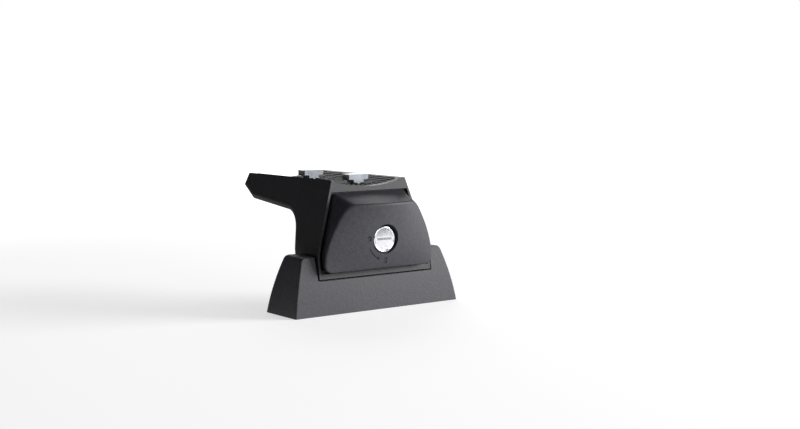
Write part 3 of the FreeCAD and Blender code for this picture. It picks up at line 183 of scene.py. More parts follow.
def turnedChrome(name, look, axisZ):
    # chromed lock face: turned rings too fine to count, then polished and plated; mirrors in soft bands
    material, tree = newMaterial(name)
    place = addNode(tree, "ShaderNodeTexCoord")
    centred = addNode(tree, "ShaderNodeMapping", {
        "Vector": place.outputs["Object"], "Location": (0, 0, -axisZ)})
    flat = addNode(tree, "ShaderNodeVectorMath", {
        0: centred.outputs["Vector"], 1: (1, 0, 1)}, operation="MULTIPLY")
    distance = addNode(tree, "ShaderNodeVectorMath", {0: flat.outputs[0]}, operation="LENGTH")
    rings = addNode(tree, "ShaderNodeMath", {
        0: distance.outputs["Value"], 1: 2 * math.pi / (look["ringMm"] * mm)}, operation="MULTIPLY")
    wave = addNode(tree, "ShaderNodeMath", {0: rings.outputs[0]}, operation="SINE")
    smear = addNode(tree, "ShaderNodeTexNoise", {
        "Vector": place.outputs["Object"], "Scale": 1 / (look["smearMm"] * mm), "Detail": 3.0})
    colour = addNode(tree, "ShaderNodeMix", {
        "Factor": smear.outputs["Fac"], 6: linear(look["deep"]), 7: linear(look["pale"])},
        data_type="RGBA")
    rough = addNode(tree, "ShaderNodeMapRange", {
        "Value": smear.outputs["Fac"],
        "To Min": look["roughness"] - 0.05, "To Max": look["roughness"] + 0.08})
    bump = addNode(tree, "ShaderNodeBump", {
        "Height": wave.outputs[0], "Strength": 0.3, "Distance": look["depthMm"] * mm})
    shader = addNode(tree, "ShaderNodeBsdfPrincipled", {
        "Base Color": colour.outputs[2], "Metallic": 1.0, "Roughness": rough.outputs["Result"],
        "Normal": bump.outputs["Normal"]})
    finishMaterial(tree, shader)
    return material


rubbers = {
    "padRubber": {
        "dark": "#1d1d1e", "light": "#29292a", "roughness": 0.72,
        "grainMm": 0.5, "bloomMm": 12.0, "depthMm": 0.02},
    # ring round the lock: darker and smoother than the dusty pads; its near-black tone is painted shade
    # for the deep well round the lock face
    "sealRubberPaintedShade": {
        "dark": "#09090a", "light": "#101011", "roughness": 0.6,
        "grainMm": 0.4, "bloomMm": 12.0, "depthMm": 0.01},
}


def blackRubber(name, look):
    # black rubber, moulded or extruded: nearly matt, with a bloom of lighter dust in the hollows
    material, tree = newMaterial(name)
    place = addNode(tree, "ShaderNodeTexCoord")
    grain = addNode(tree, "ShaderNodeTexNoise", {
        "Vector": place.outputs["Object"], "Scale": 1 / (look["grainMm"] * mm), "Detail": 4.0})
    bloom = addNode(tree, "ShaderNodeTexNoise", {
        "Vector": place.outputs["Object"], "Scale": 1 / (look["bloomMm"] * mm), "Detail": 3.0})
    colour = addNode(tree, "ShaderNodeMix", {
        "Factor": bloom.outputs["Fac"], 6: linear(look["dark"]), 7: linear(look["light"])},
        data_type="RGBA")
    bump = addNode(tree, "ShaderNodeBump", {
        "Height": grain.outputs["Fac"], "Strength": 0.5, "Distance": look["depthMm"] * mm})
    shader = addNode(tree, "ShaderNodeBsdfPrincipled", {
        "Base Color": colour.outputs[2], "Roughness": look["roughness"], "IOR": 1.52,
        "Normal": bump.outputs["Normal"]})
    finishMaterial(tree, shader)
    return material


lockAxisZ = (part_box("lock_face")[0].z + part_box("lock_face")[1].z) / 2
nylonSkirt = grainedBlack("moulded_nylon_skirt", mouldedNylon)
nylonCover = grainedBlack("moulded_nylon_cover", mouldedNylon)
coatedCasting = grainedBlack("powder_coated_aluminium_casting", powderCoat)
rubberMoulded = blackRubber("moulded_rubber", rubbers["padRubber"])
# the seal's near-black colour is painted shade in the lock's well
rubberSealPaintedShade = blackRubber("seal_rubber_painted_shade", rubbers["sealRubberPaintedShade"])
chromedFace = turnedChrome("chromed_lock_face", chromeLook, lockAxisZ)
platedSteel = metal("zinc_plated_steel", metals["zincPlatedSteel"])
shutterSteel = metal("rolled_steel_shutter", metals["shutterSteel"])
castZinc = metal("black_passivated_zinc", metals["blackZinc"])
brassMachined = metal("machined_brass", metals["machinedBrass"])
print("materials: %d" % len(bpy.data.materials))


# Surfaces

def quadGrid(rows, columns, wrapRows, wrapColumns, start):
    # indices of the quads of a grid of points, row by row; a wrapped side closes on itself
    r = np.arange(rows if wrapRows else rows - 1)
    c = np.arange(columns if wrapColumns else columns - 1)
    r, c = np.meshgrid(r, c, indexing="ij")
    r2, c2 = (r + 1) % rows, (c + 1) % columns
    quads = np.stack([r * columns + c, r2 * columns + c, r2 * columns + c2, r * columns + c2], axis=-1)
    return quads.reshape(-1, 4) + start


def paintWhere(piece, material, chosen):
    # second material on the faces whose centres, in mm, are chosen
    mesh = piece.data
    centres = np.empty(len(mesh.polygons) * 3)
    mesh.polygons.foreach_get("center", centres)
    mesh.materials.append(material)
    mesh.polygons.foreach_set("material_index", chosen(centres.reshape(-1, 3) / mm).astype(np.int32))


def makePiece(name, patches, material, body, replaced=(), sharpDegrees=32.0):
    # one mesh from grids of points in mm; shared rims are merged, then faces are turned outwards
    points, quads, start = [], [], 0
    for grid, wrapRows, wrapColumns in patches:
        quads.append(quadGrid(grid.shape[0], grid.shape[1], wrapRows, wrapColumns, start))
        points.append(grid.reshape(-1, 3))
        start += grid.shape[0] * grid.shape[1]
    points = np.concatenate(points) * mm
    quads = np.concatenate(quads)
    mesh = bpy.data.meshes.new(name)
    mesh.from_pydata(points, [], quads)
    bm = bmesh.new()
    bm.from_mesh(mesh)
    bmesh.ops.remove_doubles(bm, verts=bm.verts, dist=2e-6)
    bmesh.ops.dissolve_degenerate(bm, edges=bm.edges, dist=1e-6)
    bmesh.ops.recalc_face_normals(bm, faces=bm.faces)
    bm.to_mesh(mesh)
    bm.free()
    mesh.polygons.foreach_set("use_smooth", np.ones(len(mesh.polygons), bool))
    mesh.set_sharp_from_angle(angle=math.radians(sharpDegrees))
    mesh.materials.append(material)
    piece = bpy.data.objects.new(name, mesh)
    bpy.context.scene.collection.objects.link(piece)
    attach(piece, body)
    if replaced:
        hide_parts(*replaced)
    print("%s: %d faces" % (name, len(mesh.polygons)))
    return piece


def bend(a, corner, b, count):
    # quadratic curve from a to b that leaves and arrives in the directions of the corner
    t = np.linspace(0, 1, count).reshape((-1,) + (1,) * np.ndim(a))
    return (1 - t) ** 2 * a + 2 * t * (1 - t) * corner + t ** 2 * b


def straight(a, b, count):
    # even steps from a to b
    t = np.linspace(0, 1, count).reshape((-1,) + (1,) * np.ndim(a))
    return a + (b - a) * t


def xz(x, z):
    # points of a flat view from two arrays, spread to one shape
    return np.stack(np.broadcast_arrays(np.asarray(x, float), np.asarray(z, float)), axis=-1)


def xyz(x, y, z):
    # points from three arrays, spread to one shape
    parts = [np.asarray(values, float) for values in (x, y, z)]
    return np.stack(np.broadcast_arrays(*parts), axis=-1)


def ramp(x, low, high):
    # 0 below low, 1 above high, smooth between
    t = np.clip((x - low) / (high - low), 0, 1)
    return t * t * (3 - 2 * t)


# Leg lines that the cover and the skirt follow, in mm
legLines = {
    "half": 45.0, "flankStart": 38.4, "seatHalf": 29.8, "seatTop": 85.2,
    "flangeLow": 22.85, "flangeFront": 14.16, "frontLean": 8.67,
}


def flankAt(z):
    # half width of the leg: constant, then a straight taper to the seat
    slope = (legLines["half"] - legLines["seatHalf"]) / (legLines["seatTop"] - legLines["flankStart"])
    return legLines["half"] - slope * np.maximum(z - legLines["flankStart"], 0)


def rimAt(z):
    # front of the leg as a Y value: a straight lean
    slope = legLines["frontLean"] / (legLines["seatTop"] - legLines["flangeLow"])
    return -legLines["flangeFront"] + slope * (z - legLines["flangeLow"])


# Skirt
skirt = {
    "longLow": 65.5, "longTop": 55.8, "endSwell": 1.1,      # half length at the foot and at the top
    "deepLow": 17.7, "deepTop": 10.2, "faceSwell": 0.7,     # half depth
    "height": 37.6, "notchFloor": 22.15, "notchHalf": 45.6, "notchTopHalf": 46.1,
    "wall": 2.4, "topRound": 2.7, "notchRound": 1.3, "floorRound": 0.9,
    "edgeRound": 0.9, "innerRound": 0.3,
    "bossX": 52.5, "bossRadius": 3.6, "bossHole": 1.7,
    "bossLow": 5.3, "bossShort": 3.0, "bossHoleTop": 20.0,
}


def leanAndSwell(z, low, top, swell):
    # straight lean from low to top plus a parabola that is fullest half way up
    u = z / skirt["height"]
    return low + (top - low) * u + swell * 4 * u * (1 - u)


def skirtLong(z):
    # half length of the skirt
    return leanAndSwell(z, skirt["longLow"], skirt["longTop"], skirt["endSwell"])


def skirtDeep(z):
    # half depth of the skirt
    return leanAndSwell(z, skirt["deepLow"], skirt["deepTop"], skirt["faceSwell"])


def skirtPath(inset):
    # front view of the skirt: from its right foot over the post, along the notch and on to the left foot
    s = skirt
    top = s["height"] - inset
    floor = s["notchFloor"] - inset
    slope = (s["notchTopHalf"] - s["notchHalf"]) / (s["height"] - s["notchFloor"])

    def notchX(z):
        return s["notchHalf"] + slope * (z - s["notchFloor"]) + inset

    roundTop = max(s["topRound"] - inset, 0.3)
    roundNotch = max(s["notchRound"] - inset, 0.3)
    roundFloor = s["floorRound"] + inset
    z1 = np.linspace(0, top - roundTop, 60)
    endX = skirtLong(top) - inset
    wallZ = np.linspace(top - roundNotch, floor + roundFloor, 30)
    right = np.concatenate([
        xz(skirtLong(z1) - inset, z1),
        bend(xz(skirtLong(top - roundTop) - inset, top - roundTop), xz(endX, top),
             xz(endX - roundTop, top), 14)[1:],
        straight(xz(endX - roundTop, top), xz(notchX(top) + roundNotch, top), 8)[1:],
        bend(xz(notchX(top) + roundNotch, top), xz(notchX(top), top),
             xz(notchX(top - roundNotch), top - roundNotch), 12)[1:],
        xz(notchX(wallZ), wallZ)[1:],
        bend(xz(notchX(floor + roundFloor), floor + roundFloor), xz(notchX(floor), floor),
             xz(notchX(floor) - roundFloor, floor), 8)[1:],
        straight(xz(notchX(floor) - roundFloor, floor), xz(0.0, floor), 40)[1:],
    ])
    left = right[::-1][1:] * (-1, 1)
    return np.concatenate([right, left])


def skirtTent(inset, edge):
    # front face up to the path, over the edge, across, and down the back face
    inner, outer = skirtPath(inset + edge), skirtPath(inset)
    faceIn, faceOut = skirtDeep(inner[:, 1]) - inset, skirtDeep(outer[:, 1]) - inset
    z = inner[:, 1] * np.linspace(0, 1, 26)[:-1, None]
    face = xyz(inner[:, 0], -(skirtDeep(z) - inset), z)
    start = xyz(inner[:, 0], -faceIn, inner[:, 1])
    corner = xyz(outer[:, 0], -faceOut, outer[:, 1])
    stop = xyz(outer[:, 0], -(faceOut - edge), outer[:, 1])
    front = np.concatenate([face, bend(start, corner, stop, 6)])
    top = straight(stop, stop * (1, -1, 1), 14)[1:-1]
    back = front[::-1] * (1, -1, 1)
    return np.concatenate([front, top, back]).transpose(1, 0, 2)


def tubeGrid(x, y, rings, count=48):
    # upright turned form: rings are (radius, z) pairs in order
    turn = np.linspace(0, 2 * np.pi, count, endpoint=False)
    radius, height = np.array(rings, float).T[..., None]
    return xyz(x + radius * np.cos(turn), y + radius * np.sin(turn), height + 0 * turn)


def turnedY(x, z, rings, count=64):
    # turned form about an axis along Y: rings are (radius, y) pairs in order
    turn = np.linspace(0, 2 * np.pi, count, endpoint=False)
    radius, along = np.array(rings, float).T[..., None]
    return xyz(x + radius * np.cos(turn), along + 0 * turn, z + radius * np.sin(turn))


def roundedBox(low, high, radius, count=5):
    # box with rounded edges: an octant of a sphere at each corner, on one grid of latitude and longitude
    low, high = np.array(low, float), np.array(high, float)
    quarter = np.linspace(0, np.pi / 2, count)
    lon = np.concatenate([quarter + k * np.pi / 2 for k in range(4)])
    lat = np.concatenate([-quarter[::-1], quarter])
    signX = np.repeat([1, -1, -1, 1], count)
    signY = np.repeat([1, 1, -1, -1], count)
    signZ = np.repeat([-1, 1], count)
    half, middle = (high - low) / 2 - radius, (high + low) / 2
    x = middle[0] + signX * half[0] + radius * np.cos(lat)[:, None] * np.cos(lon)
    y = middle[1] + signY * half[1] + radius * np.cos(lat)[:, None] * np.sin(lon)
    z = middle[2] + (signZ * half[2] + radius * np.sin(lat))[:, None] + 0 * lon
    grid = xyz(x, y, z)
    cap = xyz(middle[0] + 0 * lon, middle[1] + 0 * lon, z[0])[None]
    capTop = xyz(middle[0] + 0 * lon, middle[1] + 0 * lon, z[-1])[None]
    return np.concatenate([cap, grid, capTop])


def buildSkirt():
    # an outer and an inner tent one wall apart, joined round the open foot; a turned boss at each end
    s = skirt
    outer = skirtTent(0.0, s["edgeRound"])
    inner = skirtTent(s["wall"], s["innerRound"])

    def rim(grid):
        # the open bottom edge: along the front, across one end, back along the rear, across the other
        return np.concatenate([grid[:, 0], grid[-1, 1:], grid[::-1, -1][1:], grid[0, ::-1][1:-1]])

    ring = np.stack([rim(outer), rim(inner)])
    patches = [(outer, False, False), (inner, False, False), (ring, False, True)]
    bossTop = s["height"] - s["wall"] - s["bossShort"]
    bossRings = [
        (s["bossHole"], s["bossHoleTop"]), (s["bossHole"], s["bossLow"]), (s["bossRadius"], s["bossLow"]),
        (s["bossRadius"], bossTop), (s["bossHole"], bossTop), (s["bossHole"], s["bossHoleTop"])]
    for side in (-1, 1):
        patches.append((tubeGrid(s["bossX"] * side, 0, bossRings), True, True))
    print("skirt grid %d x %d" % outer.shape[:2])
    return makePiece("skirt_moulding", patches, nylonSkirt, "leg", ["base_skirt"])


buildSkirt()


# Cover
cover = {
    "low": 27.0, "broad": 34.0, "brow": 70.5, "top": 77.0,      # heights
    "halfLow": 43.4, "taper": 16.4, "taperPower": 1.7,          # half width of the face
    "frontLow": 17.9, "forward": 3.3, "pillowLow": 1.0, "pillowTop": 6.4, "pillowPower": 5,
    "inset": 3.8, "sunk": 1.6, "wall": 2.6,                     # rear edge in the leg's recess
    "lowerRound": 6.2, "upperRound": 5.0, "peakRound": 2.0,
    "edgeFace": 1.6, "edgeSide": 1.4, "rearRound": 0.4,
    "wellRadius": 9.95, "wellFloor": 20.28, "lip": 0.15,
    "boreRadius": 9.4, "bossRadius": 11.8, "bossBack": 6.4,
    "markDepth": 0.5, "markRoom": 2.4,
    "ribX": 20.0, "ribTop": 67.0, "ribRear": -15.4, "ribThick": 1.6, "ribGap": 1.2,
    "crossZ": 61.5, "crossHalf": 31.0, "crossRear": -16.5,
    "tongueLow": (-6.0, -17.3, 29.1), "tongueHigh": (6.0, -6.6, 31.7), "tongueRound": 0.4,
    "hookLow": (-14.0, -15.1, 71.6), "hookHigh": (14.0, -3.1, 74.2),
    "buttonX": 27.0, "buttonZ": 47.0,
    "buttonRings": [
        (0, -20.3), (4.2, -20.3), (4.2, -3.9), (4.0, -3.7), (1.6, -3.7), (1.6, -6.6), (0, -6.6)],
}
# points along the bottom, lower corner, side, upper corner and top of one half of the outline
coverSteps = (100, 14, 120, 24, 54)
# grid rows of each stretch, from the lock's well out over the face and back on the inside
coverRows = {
    "well": 8, "lip": 6, "marks": 64, "face": 34, "edge": 8, "side": 12,
    "rear": 4, "inside": 8, "ceiling": 12, "boss": 5, "bore": 6,
}


def coverHalf(z):
    # half width of the face: constant, then drawn in along a power curve
    u = np.clip((z - cover["broad"]) / (cover["brow"] - cover["broad"]), 0, 1.2)
    return cover["halfLow"] - cover["taper"] * u ** cover["taperPower"]


def faceAt(x, z):
    # front of the face as a Y value: a circular arc across, deepest in the middle,
    # that stands further out higher up
    rise = np.clip((z - cover["low"]) / (cover["brow"] - cover["low"]), 0, 1)
    half = coverHalf(z)
    edge = cover["frontLow"] + cover["forward"] * rise ** 2
    growth = 1 - (1 - rise) ** cover["pillowPower"]
    swell = cover["pillowLow"] + (cover["pillowTop"] - cover["pillowLow"]) * growth
    radius = (half ** 2 + swell ** 2) / (2 * swell)
    across = np.minimum(np.abs(x), half)
    return -(edge + np.sqrt(radius ** 2 - across ** 2) - (radius - swell))


def faceRib(xs, zs, back, upright):
    # thin rib behind the face: its front edge follows the face inside the wall, its rear edge is straight
    x, z = np.broadcast_arrays(np.asarray(xs, float), np.asarray(zs, float))
    front, rear = faceAt(x, z) + cover["ribGap"], back + 0 * x
    side = cover["ribThick"] / 2 * np.array([1, 0, 0] if upright else [0, 0, 1])
    edge, root = xyz(x, front, z), xyz(x, rear, z)
    grid = np.array([edge - side, root - side, root + side, edge + side])
    start = np.repeat(grid[:, :1].mean(axis=0, keepdims=True), 4, axis=0)
    stop = np.repeat(grid[:, -1:].mean(axis=0, keepdims=True), 4, axis=0)
    return np.concatenate([start, grid, stop], axis=1)


def coverRearAt(z):
    # rear edge as a Y value: let into the recess of the leg
    return rimAt(z) + cover["sunk"]


def coverLoop(inset, rear):
    # closed loop of the face's edge, or of the rear edge, seen from the front,
    # counter-clockwise from the bottom middle
    low, brow = cover["low"] + inset, (cover["top"] if rear else cover["brow"]) - inset

    def half(z):
        return (flankAt(z) - cover["inset"] if rear else coverHalf(z)) - inset

    lower = max(cover["lowerRound"] - inset, 0.5)
    upper = max(cover["peakRound"] if rear else cover["upperRound"] - inset, 0.5)
    n = coverSteps
    sideZ = np.linspace(low + lower, brow - upper, n[2])
    right = np.concatenate([
        straight(xz(0.0, low), xz(half(low) - lower, low), n[0]),
        bend(xz(half(low) - lower, low), xz(half(low), low),
             xz(half(low + lower), low + lower), n[1])[1:],
        xz(half(sideZ), sideZ)[1:],
        bend(xz(half(brow - upper), brow - upper), xz(half(brow), brow),
             xz(half(brow) - upper, brow), n[3])[1:],
        straight(xz(half(brow) - upper, brow), xz(0.0, brow), n[4])[1:],
    ])
    left = right[::-1][1:-1] * (-1, 1)
    return np.concatenate([right, left])


def strokeDistance(p, a, b):
    # distance from points to a straight stroke
    a, b = np.array(a, float), np.array(b, float)
    along = b - a
    t = np.clip(((p - a) @ along) / (along @ along), 0, 1)
    return np.linalg.norm(p - a - t[..., None] * along, axis=-1)


def arcDistance(p, middle, radius, fromDegrees, toDegrees):
    # distance from points to an arc, angles counter-clockwise from +x
    q = p - np.array(middle, float)
    angle = np.degrees(np.arctan2(q[..., 1], q[..., 0])) % 360
    ends = [np.array(middle) + radius * np.array([math.cos(math.radians(d)), math.sin(math.radians(d))])
            for d in (fromDegrees, toDegrees)]
    inside = ((angle - fromDegrees) % 360) <= (toDegrees - fromDegrees)
    toEnds = np.minimum(*[np.linalg.norm(p - e, axis=-1) for e in ends])
    return np.where(inside, np.abs(np.linalg.norm(q, axis=-1) - radius), toEnds)


marks = {
    "sideRadius": 13.0, "lowRadius": 14.9,      # how far the two pictures stand from the lock's axis
    "sideUp": 0.5, "lowRight": 1.6, "lowDown": 0.2, "openLift": 0.75,
    "bodyWide": 2.8, "bodyTall": 2.0, "bodyRound": 0.2, "shackle": 0.92, "stroke": 0.55,
    "arcRadius": 13.2, "arcFrom": 206.0, "arcTo": 252.0,
    "arrowLong": 0.96, "arrowWide": 0.768,
    "edge": 0.14,
}


def padlockDistance(p, x, z, lift):
    # small padlock: filled body and a round shackle over it, lifted and open on one side when unlocked
    m = marks
    body = np.abs(p - (x, z)) - (m["bodyWide"] / 2 - m["bodyRound"], m["bodyTall"] / 2 - m["bodyRound"])
    outside = np.linalg.norm(np.maximum(body, 0), axis=-1)
    filled = outside + np.minimum(body.max(axis=-1), 0) - m["bodyRound"]
    base = z + m["bodyTall"] / 2 + lift
    bow = arcDistance(p, (x, base), m["shackle"], 0, 180) - m["stroke"] / 2
    leg = strokeDistance(p, (x - m["shackle"], base), (x - m["shackle"], z)) - m["stroke"] / 2
    return np.minimum(np.minimum(filled, bow), leg)


def markDepthAt(x, z):
    # depth of the engraved marks: a closed padlock at nine o'clock, an open one at six, an arrow between;
    # full inside a stroke and smoothly nothing outside
    p = xz(x, z - lockAxisZ / mm)
    m = marks
    near = [
        padlockDistance(p, -m["sideRadius"], m["sideUp"], 0.0),
        padlockDistance(p, m["lowRight"], -m["lowRadius"] - m["lowDown"], m["openLift"]),
        arcDistance(p, (0, 0), m["arcRadius"], m["arcFrom"], m["arcTo"]) - m["stroke"] / 2]
    a = math.radians(m["arcTo"])
    out, back = np.array([math.cos(a), math.sin(a)]), np.array([math.sin(a), -math.cos(a)])
    tip = m["arcRadius"] * out
    for side in (-1, 1):
        barb = tip + back * m["arrowLong"] + out * side * m["arrowWide"]
        near.append(strokeDistance(p, tip, barb) - m["stroke"] / 2)
    distance = np.minimum.reduce(near)
    return cover["markDepth"] * (1 - ramp(distance, -m["edge"] / 2, m["edge"] / 2))


def buildCover():
    # one closed grid of rings: up the lock's well, out over the face along rays from the lock's axis to
    # its edge, back along the side, then one wall further in to the boss and its bore; ribs, two tongues,
    # a hook and two turned buttons behind
    c, n = cover, coverRows
    axis = np.array([0.0, lockAxisZ / mm])
    outline, rear = coverLoop(0.0, False), coverLoop(0.0, True)
    reach = np.linalg.norm(outline - axis, axis=1)
    heading = (outline - axis) / reach[:, None]

    def onFace(r, lift=0.0, engrave=False):
        p = axis + heading * np.asarray(r)[..., None]
        y = faceAt(p[:, 0], p[:, 1]) + lift
        if engrave:
            y = y + markDepthAt(p[:, 0], p[:, 1])
        return xyz(p[:, 0], y, p[:, 1])

    def ring(r, y):
        p = axis + heading * r
        return xyz(p[:, 0], y, p[:, 1])

    rows = [ring(c["boreRadius"], -c["wellFloor"]), ring(c["wellRadius"], -c["wellFloor"])]
    lipLow = onFace(c["wellRadius"] + 0 * reach, c["lip"])
    lipCorner = onFace(c["wellRadius"] + 0 * reach)
    lipTop = onFace(c["wellRadius"] + c["lip"] + 0 * reach)
    rows.extend(straight(rows[-1], lipLow, n["well"])[1:])
    rows.extend(bend(lipLow, lipCorner, lipTop, n["lip"])[1:])
    markInner, markOuter = c["wellRadius"] + c["lip"], marks["lowRadius"] + c["markRoom"]
    edgeStart = reach - c["edgeFace"]
    for r in np.linspace(markInner, markOuter, n["marks"])[1:]:
        rows.append(onFace(np.minimum(r + 0 * reach, edgeStart), engrave=True))
    start = np.minimum(markOuter, edgeStart)
    for t in np.linspace(0, 1, n["face"])[1:]:
        rows.append(onFace(start + (edgeStart - start) * t, engrave=True))
    faceEdge = xyz(outline[:, 0], faceAt(outline[:, 0], outline[:, 1]), outline[:, 1])
    rearEdge = xyz(rear[:, 0], coverRearAt(rear[:, 1]), rear[:, 1])
    down = rearEdge - faceEdge
    down = down / np.linalg.norm(down, axis=1)[:, None]
    rows.extend(bend(rows[-1], faceEdge, faceEdge + down * c["edgeSide"], n["edge"])[1:])
    rows.extend(straight(rows[-1], rearEdge - down * c["rearRound"], n["side"])[1:])
    outlineIn, rearIn = coverLoop(c["wall"], False), coverLoop(c["wall"], True)
    rearInner = xyz(rearIn[:, 0], coverRearAt(rearIn[:, 1]), rearIn[:, 1])
    across = rearInner - rearEdge
    across = across / np.linalg.norm(across, axis=1)[:, None]
    rows.extend(bend(rows[-1], rearEdge, rearEdge + across * c["rearRound"], n["rear"])[1:])
    rows.append(rearInner)
    innerY = faceAt(outlineIn[:, 0], outlineIn[:, 1]) + c["wall"]
    faceInner = xyz(outlineIn[:, 0], innerY, outlineIn[:, 1])
    rows.extend(straight(rearInner, faceInner, n["inside"])[1:])
    reachIn = np.linalg.norm(outlineIn - axis, axis=1)
    headingIn = (outlineIn - axis) / reachIn[:, None]
    for t in np.linspace(0, 1, n["ceiling"])[1:]:
        r = reachIn + (c["bossRadius"] - reachIn) * t
        p = axis + (headingIn * (1 - t) + heading * t) * r[:, None]
        rows.append(xyz(p[:, 0], faceAt(p[:, 0], p[:, 1]) + c["wall"], p[:, 1]))
    bossRear = ring(c["bossRadius"], -c["bossBack"])
    bossFront = xyz(bossRear[:, 0], np.minimum(rows[-1][:, 1], -c["bossBack"] - 1), bossRear[:, 2])
    rows[-1] = bossFront
    rows.extend(straight(bossFront, bossRear, n["boss"])[1:])
    rows.append(ring(c["boreRadius"], -c["bossBack"]))
    rows.extend(straight(rows[-1], rows[0], n["bore"])[1:-1])
    shell = np.array(rows)
    patches = [(shell, True, True)]
    ribZ = np.linspace(c["low"] + 1, c["ribTop"], 24)
    for side in (-1, 1):
        shift = np.array([c["ribX"] * side, 0, 0])
        tongue = roundedBox(shift + c["tongueLow"], shift + c["tongueHigh"], c["tongueRound"])
        patches.append((faceRib(c["ribX"] * side, ribZ, c["ribRear"], True), True, False))
        patches.append((tongue, False, True))
        patches.append((turnedY(c["buttonX"] * side, c["buttonZ"], c["buttonRings"]), False, True))
    patches.append((roundedBox(c["hookLow"], c["hookHigh"], c["tongueRound"]), False, True))
    crossX = np.linspace(-c["crossHalf"], c["crossHalf"], 40)
    patches.append((faceRib(crossX, c["crossZ"], c["crossRear"], False), True, False))
    print("cover grid %d x %d" % shell.shape[:2])
    return makePiece("lock_cover", patches, nylonCover, "cover", ["cover_shell"])


buildCover()


# Lock face
lockFace = {
    "radius": 8.65, "front": 23.0, "back": 22.13, "dome": 0.3,
    "rimDeep": 0.2, "rimInner": 7.2, "rimCrest": 7.85,
    "slotHalf": 5.6, "slotTall": 0.65, "slotLift": 0.35, "slotDepth": 0.22,
    "bevelTop": 0.7, "bevelLow": 0.2, "bevelEnd": 0.25,
    "arrowZ": -4.3, "arrowSize": 1.2, "arrowStroke": 0.55, "arrowDepth": 0.2,
}


def lockReliefAt(x, z):
    # depth into the face: bevelled slot with a sprung shutter as its floor, and a small arrow
    f = lockFace
    x, z = np.broadcast_arrays(x, z)
    above = (f["slotTall"] + f["bevelTop"] - (z - f["slotLift"])) / f["bevelTop"]
    below = (f["slotTall"] + f["bevelLow"] + (z - f["slotLift"])) / f["bevelLow"]
    beside = (f["slotHalf"] + f["bevelEnd"] - np.abs(x)) / f["bevelEnd"]
    slot = f["slotDepth"] * np.clip(np.minimum.reduce([above, below, beside]), 0, 1)
    p = xz(x, z)
    tip = np.array([0.0, f["arrowZ"] - f["arrowSize"]])
    arrow = np.minimum.reduce([
        strokeDistance(p, tip, (-f["arrowSize"] * 0.8, f["arrowZ"])),
        strokeDistance(p, tip, (f["arrowSize"] * 0.8, f["arrowZ"])),
        strokeDistance(p, tip, (0.0, f["arrowZ"] + f["arrowSize"] * 1.1))]) - f["arrowStroke"] / 2
    return slot + f["arrowDepth"] * np.clip(-2 * arrow / f["arrowStroke"], 0, 1)


def spread(low, high, step, *dense):
    # positions from low to high, with finer stretches given as (from, to, step), on both sides of zero
    rows = [np.arange(low, high, step), [high]]
    for a, b, fine in dense:
        rows.extend([np.arange(a, b, fine), -np.arange(a, b, fine)])
    return np.unique(np.round(np.concatenate(rows), 4))


def buildLockFace():
    # gently domed disc less the relief: level rows, each as wide as the circle there,
    # then a raised rim round them
    f = lockFace
    flat = f["rimInner"]
    slotEdge = f["slotLift"] + f["slotTall"] + f["bevelTop"]
    # finer rows over the slot, the arrow and the end; finer columns at the slot's ends and the arrow
    z = spread(-flat, flat, 0.16, (0.1, slotEdge + 0.1, 0.05), (2.6, 5.9, 0.07), (flat - 0.3, flat, 0.02))
    t = spread(-1, 1, 0.014, (0.74, 0.84, 0.006), (0.0, 0.22, 0.008))
    z = z[np.abs(z) <= flat][:, None]
    x = t * np.sqrt(flat ** 2 - z ** 2)
    dome = f["dome"] * (1 - (x ** 2 + z ** 2) / flat ** 2)
    y = -f["front"] + f["rimDeep"] - dome + lockReliefAt(x, z)
    face = xyz(x, y, z + lockAxisZ / mm)
    loop = np.concatenate([face[:, -1], face[::-1, 0][1:-1]])
    axis = np.array([0, 0, lockAxisZ / mm])
    heading = (loop - axis) * (1, 0, 1) / flat
    turn = np.linspace(0, np.pi / 2, 7)
    side = f["radius"] - f["rimCrest"]
    thick = f["front"] - f["back"]
    radii = np.concatenate([[f["rimCrest"]], f["rimCrest"] + side * np.sin(turn[1:]), [f["radius"], 0]])
    depths = np.concatenate([[0.0], side * (1 - np.cos(turn[1:])), [thick, thick]]) - f["front"]
    rings = [loop] + [axis + heading * r + (0, depth, 0) for r, depth in zip(radii, depths)]
    disc = makePiece("chromed_lock_disc", [(face, False, False), (np.array(rings), False, True)],
                     chromedFace, "lock_core", ["lock_face"], 18)

    def onShutter(centres):
        # the flat floor of the slot, on the front alone
        x, y, z = centres.T
        high = z - lockAxisZ / mm - f["slotLift"]
        floorAt = f["rimDeep"] - f["dome"] + f["slotDepth"] * 0.9 - f["front"]
        within = (np.abs(x) < f["slotHalf"]) & (np.abs(high) < f["slotTall"])
        return within & (y > floorAt) & (y < -f["back"] - 0.05)

    paintWhere(disc, shutterSteel, onShutter)


buildLockFace()


# Seat pad
seatPad = {
    "half": 26.6, "front": 1.0, "rear": 93.0, "endRound": 0.3,
    "arcHeight": 179.426, "topRadius": 98.026, "lowRadius": 99.976,
    "grooveMm": 3.8, "grooveDepth": 0.55, "plainEdge": 1.5, "round": 0.5,
    "boltHole": 4.5, "bolts": (10.0, 64.0), "fineReach": 5.2, "fineStep": 0.22,
}


